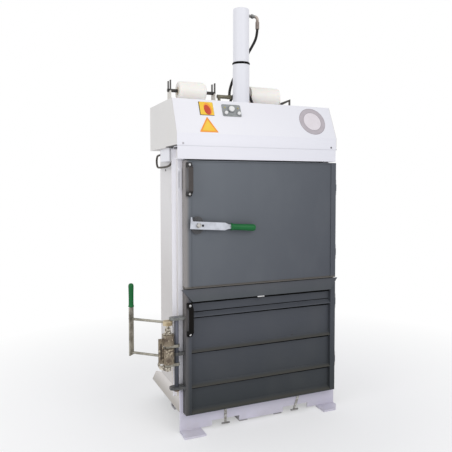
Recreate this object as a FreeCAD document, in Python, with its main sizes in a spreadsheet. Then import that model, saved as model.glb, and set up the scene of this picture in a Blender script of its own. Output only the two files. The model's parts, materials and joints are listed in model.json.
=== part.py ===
"""A vertical recycling baler: press chamber, two doors, latches, hood, cylinder and strap rolls.

Millimetres. +Z is up, the doors face -Y, X = 0 is the middle of the doors and Z = 0 is the floor.
"""
import FreeCAD, Part
import math
import os
import re
import Sketcher

Vector = FreeCAD.Vector
os.makedirs("parts", exist_ok=True)
doc = FreeCAD.newDocument("Baler")
sheet = doc.addObject("Spreadsheet::Sheet", "Sizes")

# ---------------------------------------------------------------- driving dimensions
SIZES = {
    # doors
    "door_rear_gap": 1,
    "door_lift": 6,
    "door_width": 960,
    "door_front": 287,
    "door_depth": 55,
    "lower_height": 693,
    "door_split": 5,
    "upper_height": 695,
    "stile": 33,
    "low_rail": 6,
    "upper_top_rail": 6,
    "upper_recess": 5,
    "panel_recess": 20,
    "door_sheet": 3,
    "rib_drop": 87.6,
    "rib_pitch": 195.4,
    "rib_height": 22,
    "rib_reach": 19,
    "rib_nose": 4,
    "lip_height": 66,
    "lip_gap": 2,
    "lip_over": 21,
    "lip_inset": 38,
    "lip_top_setback": 8,
    "lip_proud": 10,
    "lip_depth": 12,
    "lip_land": 3,
    "catch_width": 42,
    "catch_height": 10,
    "catch_depth": 10,
    "catch_offset": 30,
    # bow handles
    "bow_bolt_spacing": 156,
    "bow_foot_half": 13,
    "upper_bow_drop": 102,
    "lower_bow_drop": 161.5,
    "bow_width": 26,
    "bow_reach": 45,
    "bow_grip": 14,
    "bow_inset": 19,
    "bow_seat": 16,
    "bow_bolt_head": 7,
    "bow_bolt_tall": 5,
    "bow_bolt_room": 2,
    # lever of the upper door
    "lever_rise": 345,
    "boss_gap": 1,
    "boss_proud": 8,
    "lever_tab_wide": 6,
    "lever_tab_tall": 22,
    "tongue_setback": 14,
    "tongue_flare": 4,
    "keeper_gap": 2,
    "boss_width": 66,
    "boss_height": 96,
    "lever_gap": 10,
    "lever_tilt": 3.8,
    "lever_bar_left": 46,
    "lever_bar_right": 178,
    "lever_bar_tall": 42,
    "lever_bar_thick": 6,
    "lever_tang": 24,
    "lever_grip_start": 190,
    "lever_grip_long": 150,
    "lever_grip_radius": 20,
    "lever_bolt_flats": 24,
    "lever_bolt_tall": 10,
    "lever_shaft": 8,
    "square_hole": 12,
    "square_hole_offset": 25,
    "tongue_reach": 42,
    "tongue_tall": 12,
    "tongue_thick": 6,
    "keeper_width": 10,
    "keeper_tall": 26,
    "keeper_drop": 8,
    "keeper_thick": 4,
    # hinges
    "hinge_offset": 15,
    "hinge_rise": 180,
    "hinge_inset": 150,
    "hinge_pin": 8,
    "hinge_eye": 14,
    "knuckle_tall": 40,
    "lug_tall": 22,
    "lug_gap": 1,
    "pin_over": 3,
    "pin_head": 12,
    "pin_head_tall": 6,
    # base
    "base_overhang": 22,
    "base_proud": 13,
    "ear_gap": 2,
    "ear_drop": 9,
    "foot_reach": 86,
    "post_lift": 12,
    "base_plate": 8,
    "base_lift": 11,
    "base_top": 105,
    "notch_near": 143,
    "notch_far": 312,
    "notch_top": 40,
    "foot_width": 124,
    "foot_cut_x": 40,
    "foot_cut_y": 56,
    "base_rear": 329,
    "rear_half": 302,
    "deck_thick": 8,
    "bearer_offset": 113,
    "bearer_width": 52,
    "bearer_wall": 5,
    "cross_depth": 60,
    "cross_lift": 45,
    "skirt_top": 188,
    "skirt_low": 120,
    "skirt_sheet": 5,
    "skirt_rear_drop": 23,
    # hooks that hang in the two notches
    "hook_left_x": 231,
    "hook_right_x": 219,
    "hook_bar": 48,
    "hook_bar_z": 15,
    "hook_round": 10,
    "hook_sheet": 4,
    "hook_lip": 22,
    "hook_strip": 16,
    "hook_lean": 33,
    # chamber
    "wall_left_inset": 11,
    "wall_right_inset": 53,
    "chamber_rear": 236,
    "wall_plate": 6,
    "rear_plate": 8,
    "post_sheet": 4,
    "post_inner": 35,
    "post_outer": 25,
    "post_step": 30,
    "head_deck": 12.5,
    # head beam and hood
    "beam_proud": 10,
    "beam_left_over": 45,
    "beam_right_inset": 11,
    "hood_left_over": 51,
    "hood_right_inset": 5,
    "overhang_proud": 3,
    "screw_left_inset": 37,
    "screw_right_inset": 38,
    "hood_hole_gap": 3,
    "head_gap": 7,
    "beam_height": 69.5,
    "beam_sheet": 4,
    "hood_sheet": 3,
    "hood_skirt": 69.5,
    "hood_rise": 194,
    "hood_setback": 85,
    "screw_up": 14,
    "screw_radius": 6,
    "screw_dome": 3,
    # signs and controls on the slanted front
    "sign_inset": 192,
    "warning_shift": 4,
    "badge_inset": 145,
    "panel_inset": 342,
    "sign_corner": 6,
    "main_button_shift": 1,
    "main_button_rise": 6,
    "side_button_out": 38,
    "side_button_in": 40,
    "side_button_drop": 20,
    "lamp_out": 39,
    "lamp_in": 41,
    "lamp_rise": 16,
    "sign_up": 155,
    "sign_size": 85,
    "sign_sheet": 1,
    "warning_up": 12,
    "warning_width": 100,
    "warning_height": 87,
    "badge_up": 109,
    "badge_radius": 87.5,
    "panel_up": 151,
    "panel_width": 114,
    "panel_height": 76,
    "panel_sheet": 3,
    "panel_corner": 8,
    "button_proud": 9,
    "button_gap": 0.3,
    "button_rest": 4.5,
    "collar_wall": 3.5,
    "collar_tall": 6,
    "main_button": 16.5,
    "side_button": 9.5,
    "lamp_radius": 4.5,
    "lamp_tall": 4,
    # press cylinder and platen
    "barrel_tall": 523.5,
    "cap_tall": 336,
    "piston_gap": 10,
    "platen_top_gap": 28,
    "platen_front_gap": 3,
    "cylinder_y": 4,
    "cylinder_bore": 42,
    "barrel_radius": 51,
    "cap_radius": 49,
    "ring_radius": 54,
    "ring_tall": 14,
    "cap_end": 15,
    "cap_round": 14,
    "flange_radius": 80,
    "flange_tall": 20,
    "rod_radius": 25,
    "running_gap": 0.1,
    "piston_tall": 25,
    "platen_tall": 110,
    "platen_skin": 12,
    "platen_rib": 8,
    "platen_side_gap": 7,
    "platen_rear_gap": 7,
    # ports and hoses
    "port_drop": 33,
    "port_reach": 61,
    "port_fall": 31,
    "port_nut_gap": 20,
    "union_cap": 2,
    "grommet_wall": 5,
    "grommet_tall": 6,
    "side_block_y": 38,
    "port_radius": 9,
    "port_bend": 17,
    "port_nut_flats": 24,
    "port_nut_long": 12,
    "ferrule_radius": 12,
    "ferrule_long": 42,
    "hose_radius": 7.7,
    "hose_gap": 0.5,
    "union_y": 70,
    "union_z": 1915,
    "union_left": 153,
    "union_radius": 11.5,
    "riser_x": 140,
    "riser_radius": 9,
    "side_port_z": 2004,
    "rear_port_z": 1997,
    "port_block": 22,
    "side_block_x": 33,
    "rear_block_y": 69,
    "union_block_x": 71,
    # strap rolls
    "roll_rise": 88,
    "roll_left_long": 170,
    "roll_right_long": 205.5,
    "roll_left_round": 16,
    "fork_over": 58,
    "stand_left_inner": 155,
    "stand_right_inner": 39.5,
    "roll_left_gap": 60,
    "stand_left_outer": 50,
    "roll_right_gap": 41.5,
    "stand_right_outer": 6,
    "bracket_lip": 4,
    "guide_gap": 13,
    "guide_wide": 78,
    "guide_low": 56,
    "guide_high": 86,
    "guide_sheet": 6,
    "guide_border": 12,
    "spindle_flush": 1,
    "roll_y": 75,
    "roll_radius": 59,
    "roll_round": 7,
    "core_radius": 20,
    "core_wall": 4,
    "core_dish": 3,
    "spindle_radius": 10,
    "spindle_gap": 0.3,
    "fork_depth": 60,
    "fork_slot": 30,
    "fork_sheet": 6,
    "spindle_over": 9,
    # inside the hood
    "tank_left_gap": 51,
    "tank_right_gap": 45,
    "motor_inset": 201,
    "valve_gap": 40,
    "tank_depth": 260,
    "tank_tall": 190,
    "motor_radius": 70,
    "motor_long": 170,
    "pump_radius": 45,
    "pump_long": 80,
    "valve_size": 70,
    # door switch, blank plate and cable
    "switch_inset": 15,
    "switch_wide": 14,
    "switch_drop": 61,
    "switch_tall": 84,
    "switch_end_tall": 16,
    "switch_end_top": 21,
    "blank_drop": 120,
    "blank_tall": 115,
    "connector_drop": 37.5,
    "connector_tall": 44,
    "switch_depth": 10,
    "blank_front": 30,
    "blank_rear": 178,
    "blank_sheet": 1,
    "cable_x": 500,
    "cable_radius": 5.5,
    "gland_radius": 9,
    "gland_long": 14,
    "gland_drop": 29.5,
    "conduit_radius": 5,
    "connector_wide": 13,
    "connector_rear": 145,
    "connector_front": 163,
    "housing_thick": 24,
    "housing_tall": 74.5,
    "housing_front": 103,
    "housing_rear": 79,
    # latch of the lower door
    "rod_offset": 45,
    "rod_setback": 27,
    "clasp_drop": 147,
    "clasp_gap": 2,
    "mid_lug_rise": 36,
    "mid_lug_tall": 18,
    "spindle_offset": 49,
    "spindle_shift": 2,
    "link_gap": 1,
    "eye_offset": 22,
    "eye_gap": 1,
    "eye_rise": 24,
    "eye_arm_gap": 3,
    "eye_arm_half": 14,
    "eye_arm_root": 16,
    "eye_arm_cut": 4,
    "spindle_end": 4,
    "low_clasp_gap": 108,
    "sleeve_tall": 84,
    "upper_sleeve_tall": 58,
    "nut_gap": 1,
    "boss_tall": 23,
    "boss_clear": 16.1,
    "spindle_seat": 12,
    "spindle_room": 1,
    "strap_rise": 3,
    "strap_tall": 135,
    "claw_gap": 1,
    "claw_root": 6,
    "latch_keeper_gap": 4,
    "arm_rise": 15,
    "arm_angle": 136,
    "arm_end_length": 9,
    "side_bar_under": 15,
    "side_bar_over": 66,
    "latch_rod": 12,
    "clasp_sheet": 14,
    "clasp_reach": 38,
    "clasp_half": 25,
    "mid_lug_radius": 14,
    "rod_nut_flats": 28,
    "rod_nut_tall": 12,
    "latch_spindle": 9,
    "link_radius": 17,
    "link_tall": 15,
    "eye_thick": 10,
    "eye_radius": 23,
    "eye_hole": 10,
    "eye_arm_tall": 20,
    "barrel_size": 34,
    "flat_cut": 26,
    "strap_reach": 52,
    "strap_thick": 12,
    "strap_slot": 8,
    "strap_slot_long": 86,
    "claw_tall": 20,
    "claw_near": 13,
    "claw_far": 24,
    "claw_long": 82,
    "claw_nose": 8,
    "claw_tip": 3,
    "latch_keeper_sheet": 8,
    "spindle_nut_flats": 30,
    "spindle_nut_tall": 17,
    "washer_radius": 25,
    "washer_tall": 4,
    "boss_radius": 26,
    "arm_radius": 7,
    "arm_reach": 225,
    "side_bar_wide": 40,
    "side_bar_thick": 8,
    "side_grip_radius": 16,
    "side_grip_long": 132,
    # how far a cutting tool runs past what it cuts
    "cut_over": 1,
}

for row, (name, size) in enumerate(SIZES.items(), start=1):
    sheet.set(f"A{row}", name)
    sheet.set(f"B{row}", str(size))
    sheet.setAlias(f"B{row}", name)
doc.recompute()

# ---------------------------------------------------------------- places that follow the sizes
# Each one follows the piece it belongs to, so that the pieces keep together when a size changes.
PLACES = {
    # doors, hinges and chamber
    "chamber_front": "door_front - door_depth - door_rear_gap",
    "door_bottom": "base_top + door_lift",
    "lower_top": "door_bottom + lower_height",
    "upper_bottom": "lower_top + door_split",
    "upper_top": "upper_bottom + upper_height",
    "hinge_x": "door_width / 2 + hinge_offset",
    "hinge_y": "chamber_front + hinge_eye",
    "lower_hinge_low": "door_bottom + hinge_rise",
    "lower_hinge_high": "lower_top - hinge_inset",
    "upper_hinge_low": "upper_bottom + hinge_inset",
    "upper_hinge_high": "upper_top - hinge_inset",
    "wall_left": "door_width / 2 - wall_left_inset",
    "wall_right": "door_width / 2 - wall_right_inset",
    "chamber_offset": "(wall_left - wall_right) / 2",
    "lip_top_half": "door_width / 2 + lip_over",
    "lip_low_half": "door_width / 2 - lip_inset",
    "lip_top_front": "door_front - lip_top_setback",
    "lip_low_front": "door_front + lip_proud",
    "lip_back": "door_front - lip_depth",
    "upper_bow_height": "upper_top - upper_bow_drop",
    "lower_bow_height": "lower_top - lower_bow_drop",
    # base
    "base_half": "door_width / 2 + base_overhang",
    "base_front": "chamber_front + base_proud",
    "ear_top": "lower_hinge_low - knuckle_tall / 2 - lug_gap - lug_tall - pin_over - ear_drop",
    "foot_front": "base_front + foot_reach",
    "post_bottom": "skirt_top + post_lift",
    # head beam and hood
    "beam_bottom": "upper_top + head_gap",
    "seam": "beam_bottom + beam_height",
    "deck_bottom": "seam - head_deck",
    "bend": "seam + hood_skirt",
    "hood_top": "bend + hood_rise",
    "beam_front": "door_front + beam_proud",
    "beam_left": "door_width / 2 + beam_left_over",
    "beam_right": "door_width / 2 - beam_right_inset",
    "hood_left": "door_width / 2 + hood_left_over",
    "hood_right": "door_width / 2 - hood_right_inset",
    "hood_rear": "chamber_rear",
    "overhang_front": "door_front + overhang_proud",
    "screw_left": "hood_left - screw_left_inset",
    "screw_right": "hood_right - screw_right_inset",
    # signs and controls
    "sign_x": "hood_left - sign_inset",
    "warning_x": "sign_x + warning_shift",
    "badge_x": "hood_right - badge_inset",
    "panel_x": "hood_left - panel_inset",
    "main_button_x": "panel_x + main_button_shift",
    "main_button_up": "panel_up + main_button_rise",
    "side_button_left": "panel_x + side_button_out",
    "side_button_right": "panel_x - side_button_in",
    "side_button_up": "panel_up - side_button_drop",
    "lamp_left": "panel_x + lamp_out",
    "lamp_right": "panel_x - lamp_in",
    "lamp_up": "panel_up + lamp_rise",
    # lever of the upper door
    "lever_x": "door_width / 2 - stile - boss_width / 2 - boss_gap",
    "lever_z": "upper_bottom + lever_rise",
    "boss_front": "door_front + boss_proud",
    "tongue_back": "door_front - door_depth - tongue_setback",
    "keeper_front": "tongue_back + tongue_thick + keeper_gap + keeper_thick",
    # cylinder, platen and ports
    "ring_low": "seam + barrel_tall",
    "cylinder_top": "ring_low + cap_tall",
    "piston_top": "cylinder_top - cap_end - piston_gap",
    "platen_bottom": "deck_bottom - platen_tall - platen_top_gap",
    "platen_front": "tongue_back - platen_front_gap",
    "port_z": "cylinder_top - port_drop",
    "port_x": "cap_radius - chamber_offset + port_reach",
    "port_end": "port_z - port_fall",
    "port_nut_x": "cap_radius - chamber_offset + port_nut_gap",
    # strap rolls
    "roll_z": "hood_top + roll_rise",
    "fork_top": "roll_z + fork_over",
    "fork_two": "chamber_offset + stand_left_inner",
    "roll_left_high": "fork_two + roll_left_gap",
    "roll_left_low": "roll_left_high + roll_left_long",
    "fork_one": "roll_left_low + stand_left_outer",
    "fork_three": "stand_right_inner - chamber_offset",
    "roll_right_low": "fork_three + roll_right_gap",
    "roll_right_high": "roll_right_low + roll_right_long",
    "bracket_x": "roll_right_high + stand_right_outer",
    "spindle_right_end": "bracket_x + fork_sheet / 2 + spindle_flush",
    # drive
    "tank_left": "flange_radius - chamber_offset + tank_left_gap",
    "tank_right": "hood_right - tank_right_gap",
    "motor_x": "hood_left - motor_inset",
    # switch, plate and cable
    "switch_right": "wall_left + switch_inset",
    "switch_left": "switch_right + switch_wide",
    "switch_high": "upper_top - switch_drop",
    "switch_low": "switch_high - switch_tall",
    "switch_end_high": "switch_high + switch_end_top",
    "switch_end_low": "switch_low - switch_end_tall",
    "blank_high": "upper_top - blank_drop",
    "blank_low": "blank_high - blank_tall",
    "connector_high": "seam - connector_drop",
    "connector_low": "connector_high - connector_tall",
    # latch of the lower door, from its top clasp downwards
    "rod_x": "door_width / 2 + rod_offset",
    "rod_y": "door_front - rod_setback",
    "spindle_x": "rod_x + spindle_offset",
    "spindle_y": "rod_y + spindle_shift",
    "eye_x": "spindle_x + eye_offset",
    "eye_front": "spindle_y - barrel_size - eye_gap",
    "clasp_top": "lower_top - clasp_drop",
    "boss_high": "clasp_top - clasp_sheet - clasp_gap",
    "boss_low": "boss_high - boss_tall",
    "nut_low": "boss_low - boss_clear - spindle_nut_tall * 1.7 - washer_tall",
    "barrel_high": "nut_low - nut_gap",
    "barrel_upper": "barrel_high - upper_sleeve_tall",
    "link_high": "barrel_upper - link_gap - link_tall",
    "barrel_split": "link_high - link_gap",
    "barrel_low": "barrel_split - sleeve_tall",
    "link_low": "barrel_low - link_gap - link_tall",
    "eye_arm_low": "link_low - eye_arm_gap - eye_arm_tall",
    "clasp_low": "eye_arm_low - low_clasp_gap",
    "eye_z": "eye_arm_low + eye_rise",
    "mid_lug_low": "barrel_low + mid_lug_rise",
    "mid_lug_high": "mid_lug_low + mid_lug_tall",
    "strap_low": "barrel_low + strap_rise",
    "strap_high": "strap_low + strap_tall",
    "claw_low": "eye_z + eye_radius + claw_gap",
    "keeper_low": "claw_low - latch_keeper_gap",
    "keeper_high": "claw_low + claw_tall + latch_keeper_gap",
    "spindle_top": "boss_low + spindle_seat",
    "arm_upper": "boss_low + arm_rise",
    "arm_lower": "claw_low + claw_tall + claw_gap + arm_radius",
    "side_bar_low": "arm_lower - side_bar_under",
    "side_bar_high": "arm_upper + side_bar_over",
}

# the same kind of place, for use inside longer expressions
DOOR_BACK = "(door_depth - door_front)"
PANEL_FRONT = "(panel_recess - door_front)"
PANEL_BACK = f"({PANEL_FRONT} + door_sheet)"
UPPER_FRONT = "(upper_recess - door_front)"
UPPER_BACK = f"({UPPER_FRONT} + door_sheet)"
HOOD_TOP_FRONT = "(hood_setback - beam_front)"
SLOPE = "sqrt(hood_setback * hood_setback + hood_rise * hood_rise)"
LIP_BOTTOM = "(lower_top - lip_height)"
BASE_BACK = "(base_plate - base_front)"
WALL = {-1: "(0 - wall_left)", 1: "wall_right"}
PLATEN_TOP = "(platen_bottom + platen_tall)"

WORDS = re.compile(r"\b(" + "|".join(sorted([*SIZES, *PLACES], key=len, reverse=True)) + r")\b")
NODES = {}


def spell(word):
    """A size's cell of the sheet, or a place's own expression written out in cells."""
    name = word.group(0)
    return f"({cells(PLACES[name])})" if name in PLACES else "Sizes." + name


def cells(text):
    """The same expression with each size written as a cell of the sheet."""
    return WORDS.sub(spell, str(text))


def number(text):
    """What an expression is worth now."""
    return float(sheet.evalExpression(cells(text)))


def bind(thing, prop, text):
    thing.setExpression(prop, cells(text))


def place(thing, x="0", y="0", z="0"):
    for axis, text in zip("xyz", (x, y, z)):
        bind(thing, "Placement.Base." + axis, text)


def node(name, thing):
    """Names a sub-part: its label is its node and its file."""
    thing.Label = name
    NODES[name] = thing
    return thing


# ---------------------------------------------------------------- kinds of form
TURNS = {
    "x": FreeCAD.Rotation(Vector(0, 1, 0), 90),
    "y": FreeCAD.Rotation(Vector(1, 0, 0), -90),
    "z": FreeCAD.Rotation(),
}


def block(name, x, y, z):
    """A box between two ends along each axis."""
    box = doc.addObject("Part::Box", name)
    for prop, (low, high) in (("Length", x), ("Width", y), ("Height", z)):
        bind(box, prop, f"({high}) - ({low})")
    place(box, x[0], y[0], z[0])
    return box


def rod(name, radius, length, x, y, z, along="z"):
    """A round bar from a point along one axis."""
    bar = doc.addObject("Part::Cylinder", name)
    bar.Placement.Rotation = TURNS[along]
    bind(bar, "Radius", radius)
    bind(bar, "Height", length)
    place(bar, x, y, z)
    return bar


def hexagon(name, flats, length, x, y, z, along="z"):
    """A hexagonal bar by its width across the flats."""
    bar = doc.addObject("Part::Prism", name)
    bar.Polygon = 6
    bar.Placement.Rotation = TURNS[along]
    bind(bar, "Circumradius", f"({flats}) / sqrt(3)")
    bind(bar, "Height", length)
    place(bar, x, y, z)
    return bar


def cut(name, base, tool):
    result = doc.addObject("Part::Cut", name)
    result.Base = base
    result.Tool = tool
    return result


def fuse(name, *shapes):
    result = doc.addObject("Part::MultiFuse", name)
    result.Shapes = list(shapes)
    return result


def common(name, *shapes):
    result = doc.addObject("Part::MultiCommon", name)
    result.Shapes = list(shapes)
    return result


def group(name, shapes):
    """Several equal pieces in one node, each its own solid."""
    result = doc.addObject("Part::Compound", name)
    result.Links = list(shapes)
    return result


def origin_plane(body, role):
    return [item for item in body.Origin.OriginFeatures if item.Role == role][0]


def sketch_on(body, name, role, outlines, circles=()):
    """A sketch of closed outlines and circles, every corner held by two bound distances."""
    sketch = body.newObject("Sketcher::SketchObject", name)
    sketch.AttachmentSupport = [(origin_plane(body, role), "")]
    sketch.MapMode = "FlatFace"
    for outline in outlines:
        first = sketch.GeometryCount
        count = len(outline)
        spots = [Vector(number(x), number(y), 0) for x, y in outline]
        for index in range(count):
            sketch.addGeometry(Part.LineSegment(spots[index], spots[(index + 1) % count]), False)
        for index in range(count):
            after = first + (index + 1) % count
            sketch.addConstraint(Sketcher.Constraint("Coincident", first + index, 2, after, 1))
        for index, corner in enumerate(outline):
            for kind, text, worth in zip(("DistanceX", "DistanceY"), corner, spots[index]):
                held = Sketcher.Constraint(kind, -1, 1, first + index, 1, worth)
                line = sketch.addConstraint(held)
                sketch.setExpression(f"Constraints[{line}]", cells(text))
    for x, y, radius in circles:
        middle = Vector(number(x), number(y), 0)
        ring = sketch.addGeometry(Part.Circle(middle, Vector(0, 0, 1), number(radius)), False)
        for kind, text, worth in zip(("DistanceX", "DistanceY"), (x, y), middle):
            line = sketch.addConstraint(Sketcher.Constraint(kind, -1, 1, ring, 3, worth))
            sketch.setExpression(f"Constraints[{line}]", cells(text))
        line = sketch.addConstraint(Sketcher.Constraint("Radius", ring, number(radius)))
        sketch.setExpression(f"Constraints[{line}]", cells(radius))
    return sketch


def profile(name, role, outlines, length, x="0", y="0", z="0", circles=()):
    """A section padded to a length. XZ sections grow towards -Y, YZ towards +X, XY upwards."""
    body = doc.addObject("PartDesign::Body", name)
    sketch = sketch_on(body, name + "_section", role, outlines, circles)
    pad = body.newObject("PartDesign::Pad", name + "_pad")
    pad.Profile = sketch
    bind(pad, "Length", length)
    sketch.Visibility = False
    place(body, x, y, z)
    return body


def lathe(name, outline, x="0", y="0", z="0", along="z"):
    """A turned piece: an outline of radius and height, spun about its own axis."""
    body = doc.addObject("PartDesign::Body", name)
    sketch = sketch_on(body, name + "_section", "XZ_Plane", [outline])
    spun = body.newObject("PartDesign::Revolution", name + "_turned")
    spun.Profile = sketch
    spun.ReferenceAxis = (sketch, ["V_Axis"])
    spun.Angle = 360
    sketch.Visibility = False
    body.Placement.Rotation = TURNS[along]
    place(body, x, y, z)
    return body


def round_edges(body, name, radius, chosen):
    """Rounds the edges of a body's last feature that a test picks by their two end points."""
    doc.recompute()
    last = body.Tip
    picked = []
    for index, edge in enumerate(last.Shape.Edges, start=1):
        ends = [vertex.Point for vertex in edge.Vertexes]
        if chosen(edge, ends):
            picked.append(f"Edge{index}")
    rounded = body.newObject("PartDesign::Fillet", name)
    rounded.Base = (last, picked)
    bind(rounded, "Radius", radius)
    return rounded


def upright(edge, ends):
    """True for an edge that runs along the body's own Z."""
    return len(ends) == 2 and abs(ends[0].z - ends[1].z) > 0.9 * edge.Length


def turn(thing, axis, angle):
    """Turns a piece by a bound angle. The one degree only gives the turn its axis."""
    thing.Placement.Rotation = FreeCAD.Rotation(axis, 1)
    bind(thing, "Placement.Rotation.Angle", angle)


def on_slope(thing, x, up, out="0"):
    """Lays a piece drawn on XY onto the slanted hood front: y goes up the slope, z points out."""
    along = f"(({up}) / {SLOPE})"
    outward = f"(({out}) / {SLOPE})"
    turn(thing, Vector(1, 0, 0), "atan2(hood_rise; hood_setback)")
    place(
        thing,
        x,
        f"0 - beam_front + {along} * hood_setback - {outward} * hood_rise",
        f"bend + {along} * hood_rise + {outward} * hood_setback",
    )
    return thing


# ---------------------------------------------------------------- base
def make_base():
    half = "base_half"
    ear = "(door_width / 2 + ear_gap)"
    outline = [
        (f"-{half}", "base_lift"),
        ("-notch_far", "base_lift"),
        ("-notch_far", "notch_top"),
        ("-notch_near", "notch_top"),
        ("-notch_near", "base_lift"),
        ("notch_near", "base_lift"),
        ("notch_near", "notch_top"),
        ("notch_far", "notch_top"),
        ("notch_far", "base_lift"),
        (half, "base_lift"),
        (half, "ear_top"),
        (ear, "ear_top"),
        (ear, "base_top"),
        (f"-{ear}", "base_top"),
        (f"-{ear}", "ear_top"),
        (f"-{half}", "ear_top"),
    ]
    plate = profile("front_plate", "XZ_Plane", [outline], "base_plate", y=BASE_BACK)

    inner = f"({half} - foot_width)"
    left = [
        (f"-{half}", BASE_BACK),
        (f"-{half}", "-foot_front"),
        (f"-{inner}", "-foot_front"),
        (f"-{inner}", BASE_BACK),
    ]
    right = [
        (inner, BASE_BACK),
        (inner, "-foot_front"),
        (f"{half} - foot_cut_x", "-foot_front"),
        (half, "foot_cut_y - foot_front"),
        (half, BASE_BACK),
    ]
    feet = [
        profile("foot_left", "XY_Plane", [left], "base_lift"),
        profile("foot_right", "XY_Plane", [right], "base_lift"),
    ]
    node("base_front_plate", group("front_plate_and_feet", [plate, *feet]))

    deck_low = "(base_top - deck_thick)"
    deck = block("deck", (WALL[-1], WALL[1]), (BASE_BACK, "base_rear"), (deck_low, "base_top"))
    node("chamber_floor", deck)
    rear = ("base_rear - base_plate", "base_rear")
    bearers = [block("rear_plate_low", ("-rear_half", "rear_half"), rear, ("0", deck_low))]
    for side, word in ((-1, "left"), (1, "right")):
        middle = f"({side} * bearer_offset)"
        x = (f"{middle} - bearer_width / 2", f"{middle} + bearer_width / 2")
        y = (BASE_BACK, "base_rear - base_plate")
        inside_x = (f"{x[0]} + bearer_wall", f"{x[1]} - bearer_wall")
        inside_z = ("bearer_wall", f"{deck_low} - bearer_wall")
        tube = block(f"bearer_{word}", x, y, ("0", deck_low))
        bearers.append(cut(f"bearer_tube_{word}", tube, block(f"bearer_bore_{word}", inside_x, y, inside_z)))
    inner_face = "(bearer_offset - bearer_width / 2)"
    outer_face = "(bearer_offset + bearer_width / 2)"
    spans = (
        ("left", WALL[-1], f"-{outer_face}", "cross_lift"),
        ("middle", f"-{inner_face}", inner_face, "0"),
        ("right", outer_face, WALL[1], "cross_lift"),
    )
    for word, low, high, lift in spans:
        y = ("-cross_depth / 2", "cross_depth / 2")
        inside_y = ("bearer_wall - cross_depth / 2", "cross_depth / 2 - bearer_wall")
        inside_z = (f"{lift} + bearer_wall", f"{deck_low} - bearer_wall")
        tube = block(f"cross_{word}", (low, high), y, (lift, deck_low))
        bore = block(f"cross_bore_{word}", (low, high), inside_y, inside_z)
        bearers.append(cut(f"cross_tube_{word}", tube, bore))
    node("base_bearers", group("bearers", bearers))


def make_skirts():
    """A folded plate down each side, from the wall out to the edge of the base."""
    skirts = []
    for side, word in ((-1, "left"), (1, "right")):
        wall = WALL[side]
        out = f"({side} * base_half)"
        run = f"({side} * ({out} - {wall}))"
        rise = "(skirt_top - skirt_low)"
        thick = f"(skirt_sheet * sqrt({run} * {run} + {rise} * {rise}) / {run})"
        foot = f"({side} * (base_half - skirt_sheet * sqrt({run} * {run} + {rise} * {rise}) / {rise}))"
        outline = [
            (wall, "skirt_top"),
            (out, "skirt_low"),
            (out, "skirt_low - skirt_sheet"),
            (wall, "skirt_low - skirt_sheet"),
            (wall, "skirt_low"),
            (foot, "skirt_low"),
            (wall, f"skirt_top - {thick}"),
        ]
        plate = profile(f"skirt_{word}", "XZ_Plane", [outline], "base_rear + chamber_front", y="base_rear")
        corner = [
            ("chamber_rear", "skirt_top + cut_over"),
            ("chamber_rear", "skirt_top"),
            ("base_rear", "skirt_top - skirt_rear_drop"),
            ("base_rear + cut_over", "skirt_top - skirt_rear_drop"),
            ("base_rear + cut_over", "skirt_top + cut_over"),
        ]
        wedge = profile(f"skirt_corner_{word}", "YZ_Plane", [corner], "2 * base_half", x="-base_half")
        skirts.append(cut(f"skirt_cut_{word}", plate, wedge))
    node("side_skirts", group("skirts", skirts))


def make_hooks():
    """Two straps that hang over the front plate's top edge, with a round bar across their ends."""
    front = "(0 - base_front)"
    hooks = []
    for word, x, lean in (("left", "(0 - hook_left_x)", "0"), ("right", "hook_right_x", "hook_lean")):
        top_x = f"({x} + {lean})"
        low_z = "(hook_bar_z + hook_round / 2)"
        strip = [
            (f"{x} - hook_strip / 2", low_z),
            (f"{x} + hook_strip / 2", low_z),
            (f"{top_x} + hook_strip / 2", "base_top + hook_sheet"),
            (f"{top_x} - hook_strip / 2", "base_top + hook_sheet"),
        ]
        strap = profile(f"hook_strap_{word}", "XZ_Plane", [strip], "hook_sheet", y=front)
        lip_x = (f"{top_x} - hook_strip / 2", f"{top_x} + hook_strip / 2")
        lip = block(
            f"hook_lip_{word}",
            lip_x,
            (f"{front} - hook_sheet", f"{front} + hook_lip - hook_sheet"),
            ("base_top", "base_top + hook_sheet"),
        )
        bar_x = f"{x} - hook_bar / 2"
        bar_y = f"({front} - hook_round / 2)"
        bar = rod(f"hook_bar_{word}", "hook_round / 2", "hook_bar", bar_x, bar_y, "hook_bar_z", "x")
        stem = block(
            f"hook_stem_{word}",
            (f"{x} - hook_strip / 2", f"{x} + hook_strip / 2"),
            (f"{front} - hook_sheet", front),
            ("hook_bar_z", low_z),
        )
        hooks.append(fuse(f"hook_{word}", strap, lip, bar, stem))
    node("t_hooks", group("hooks", hooks))


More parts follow.
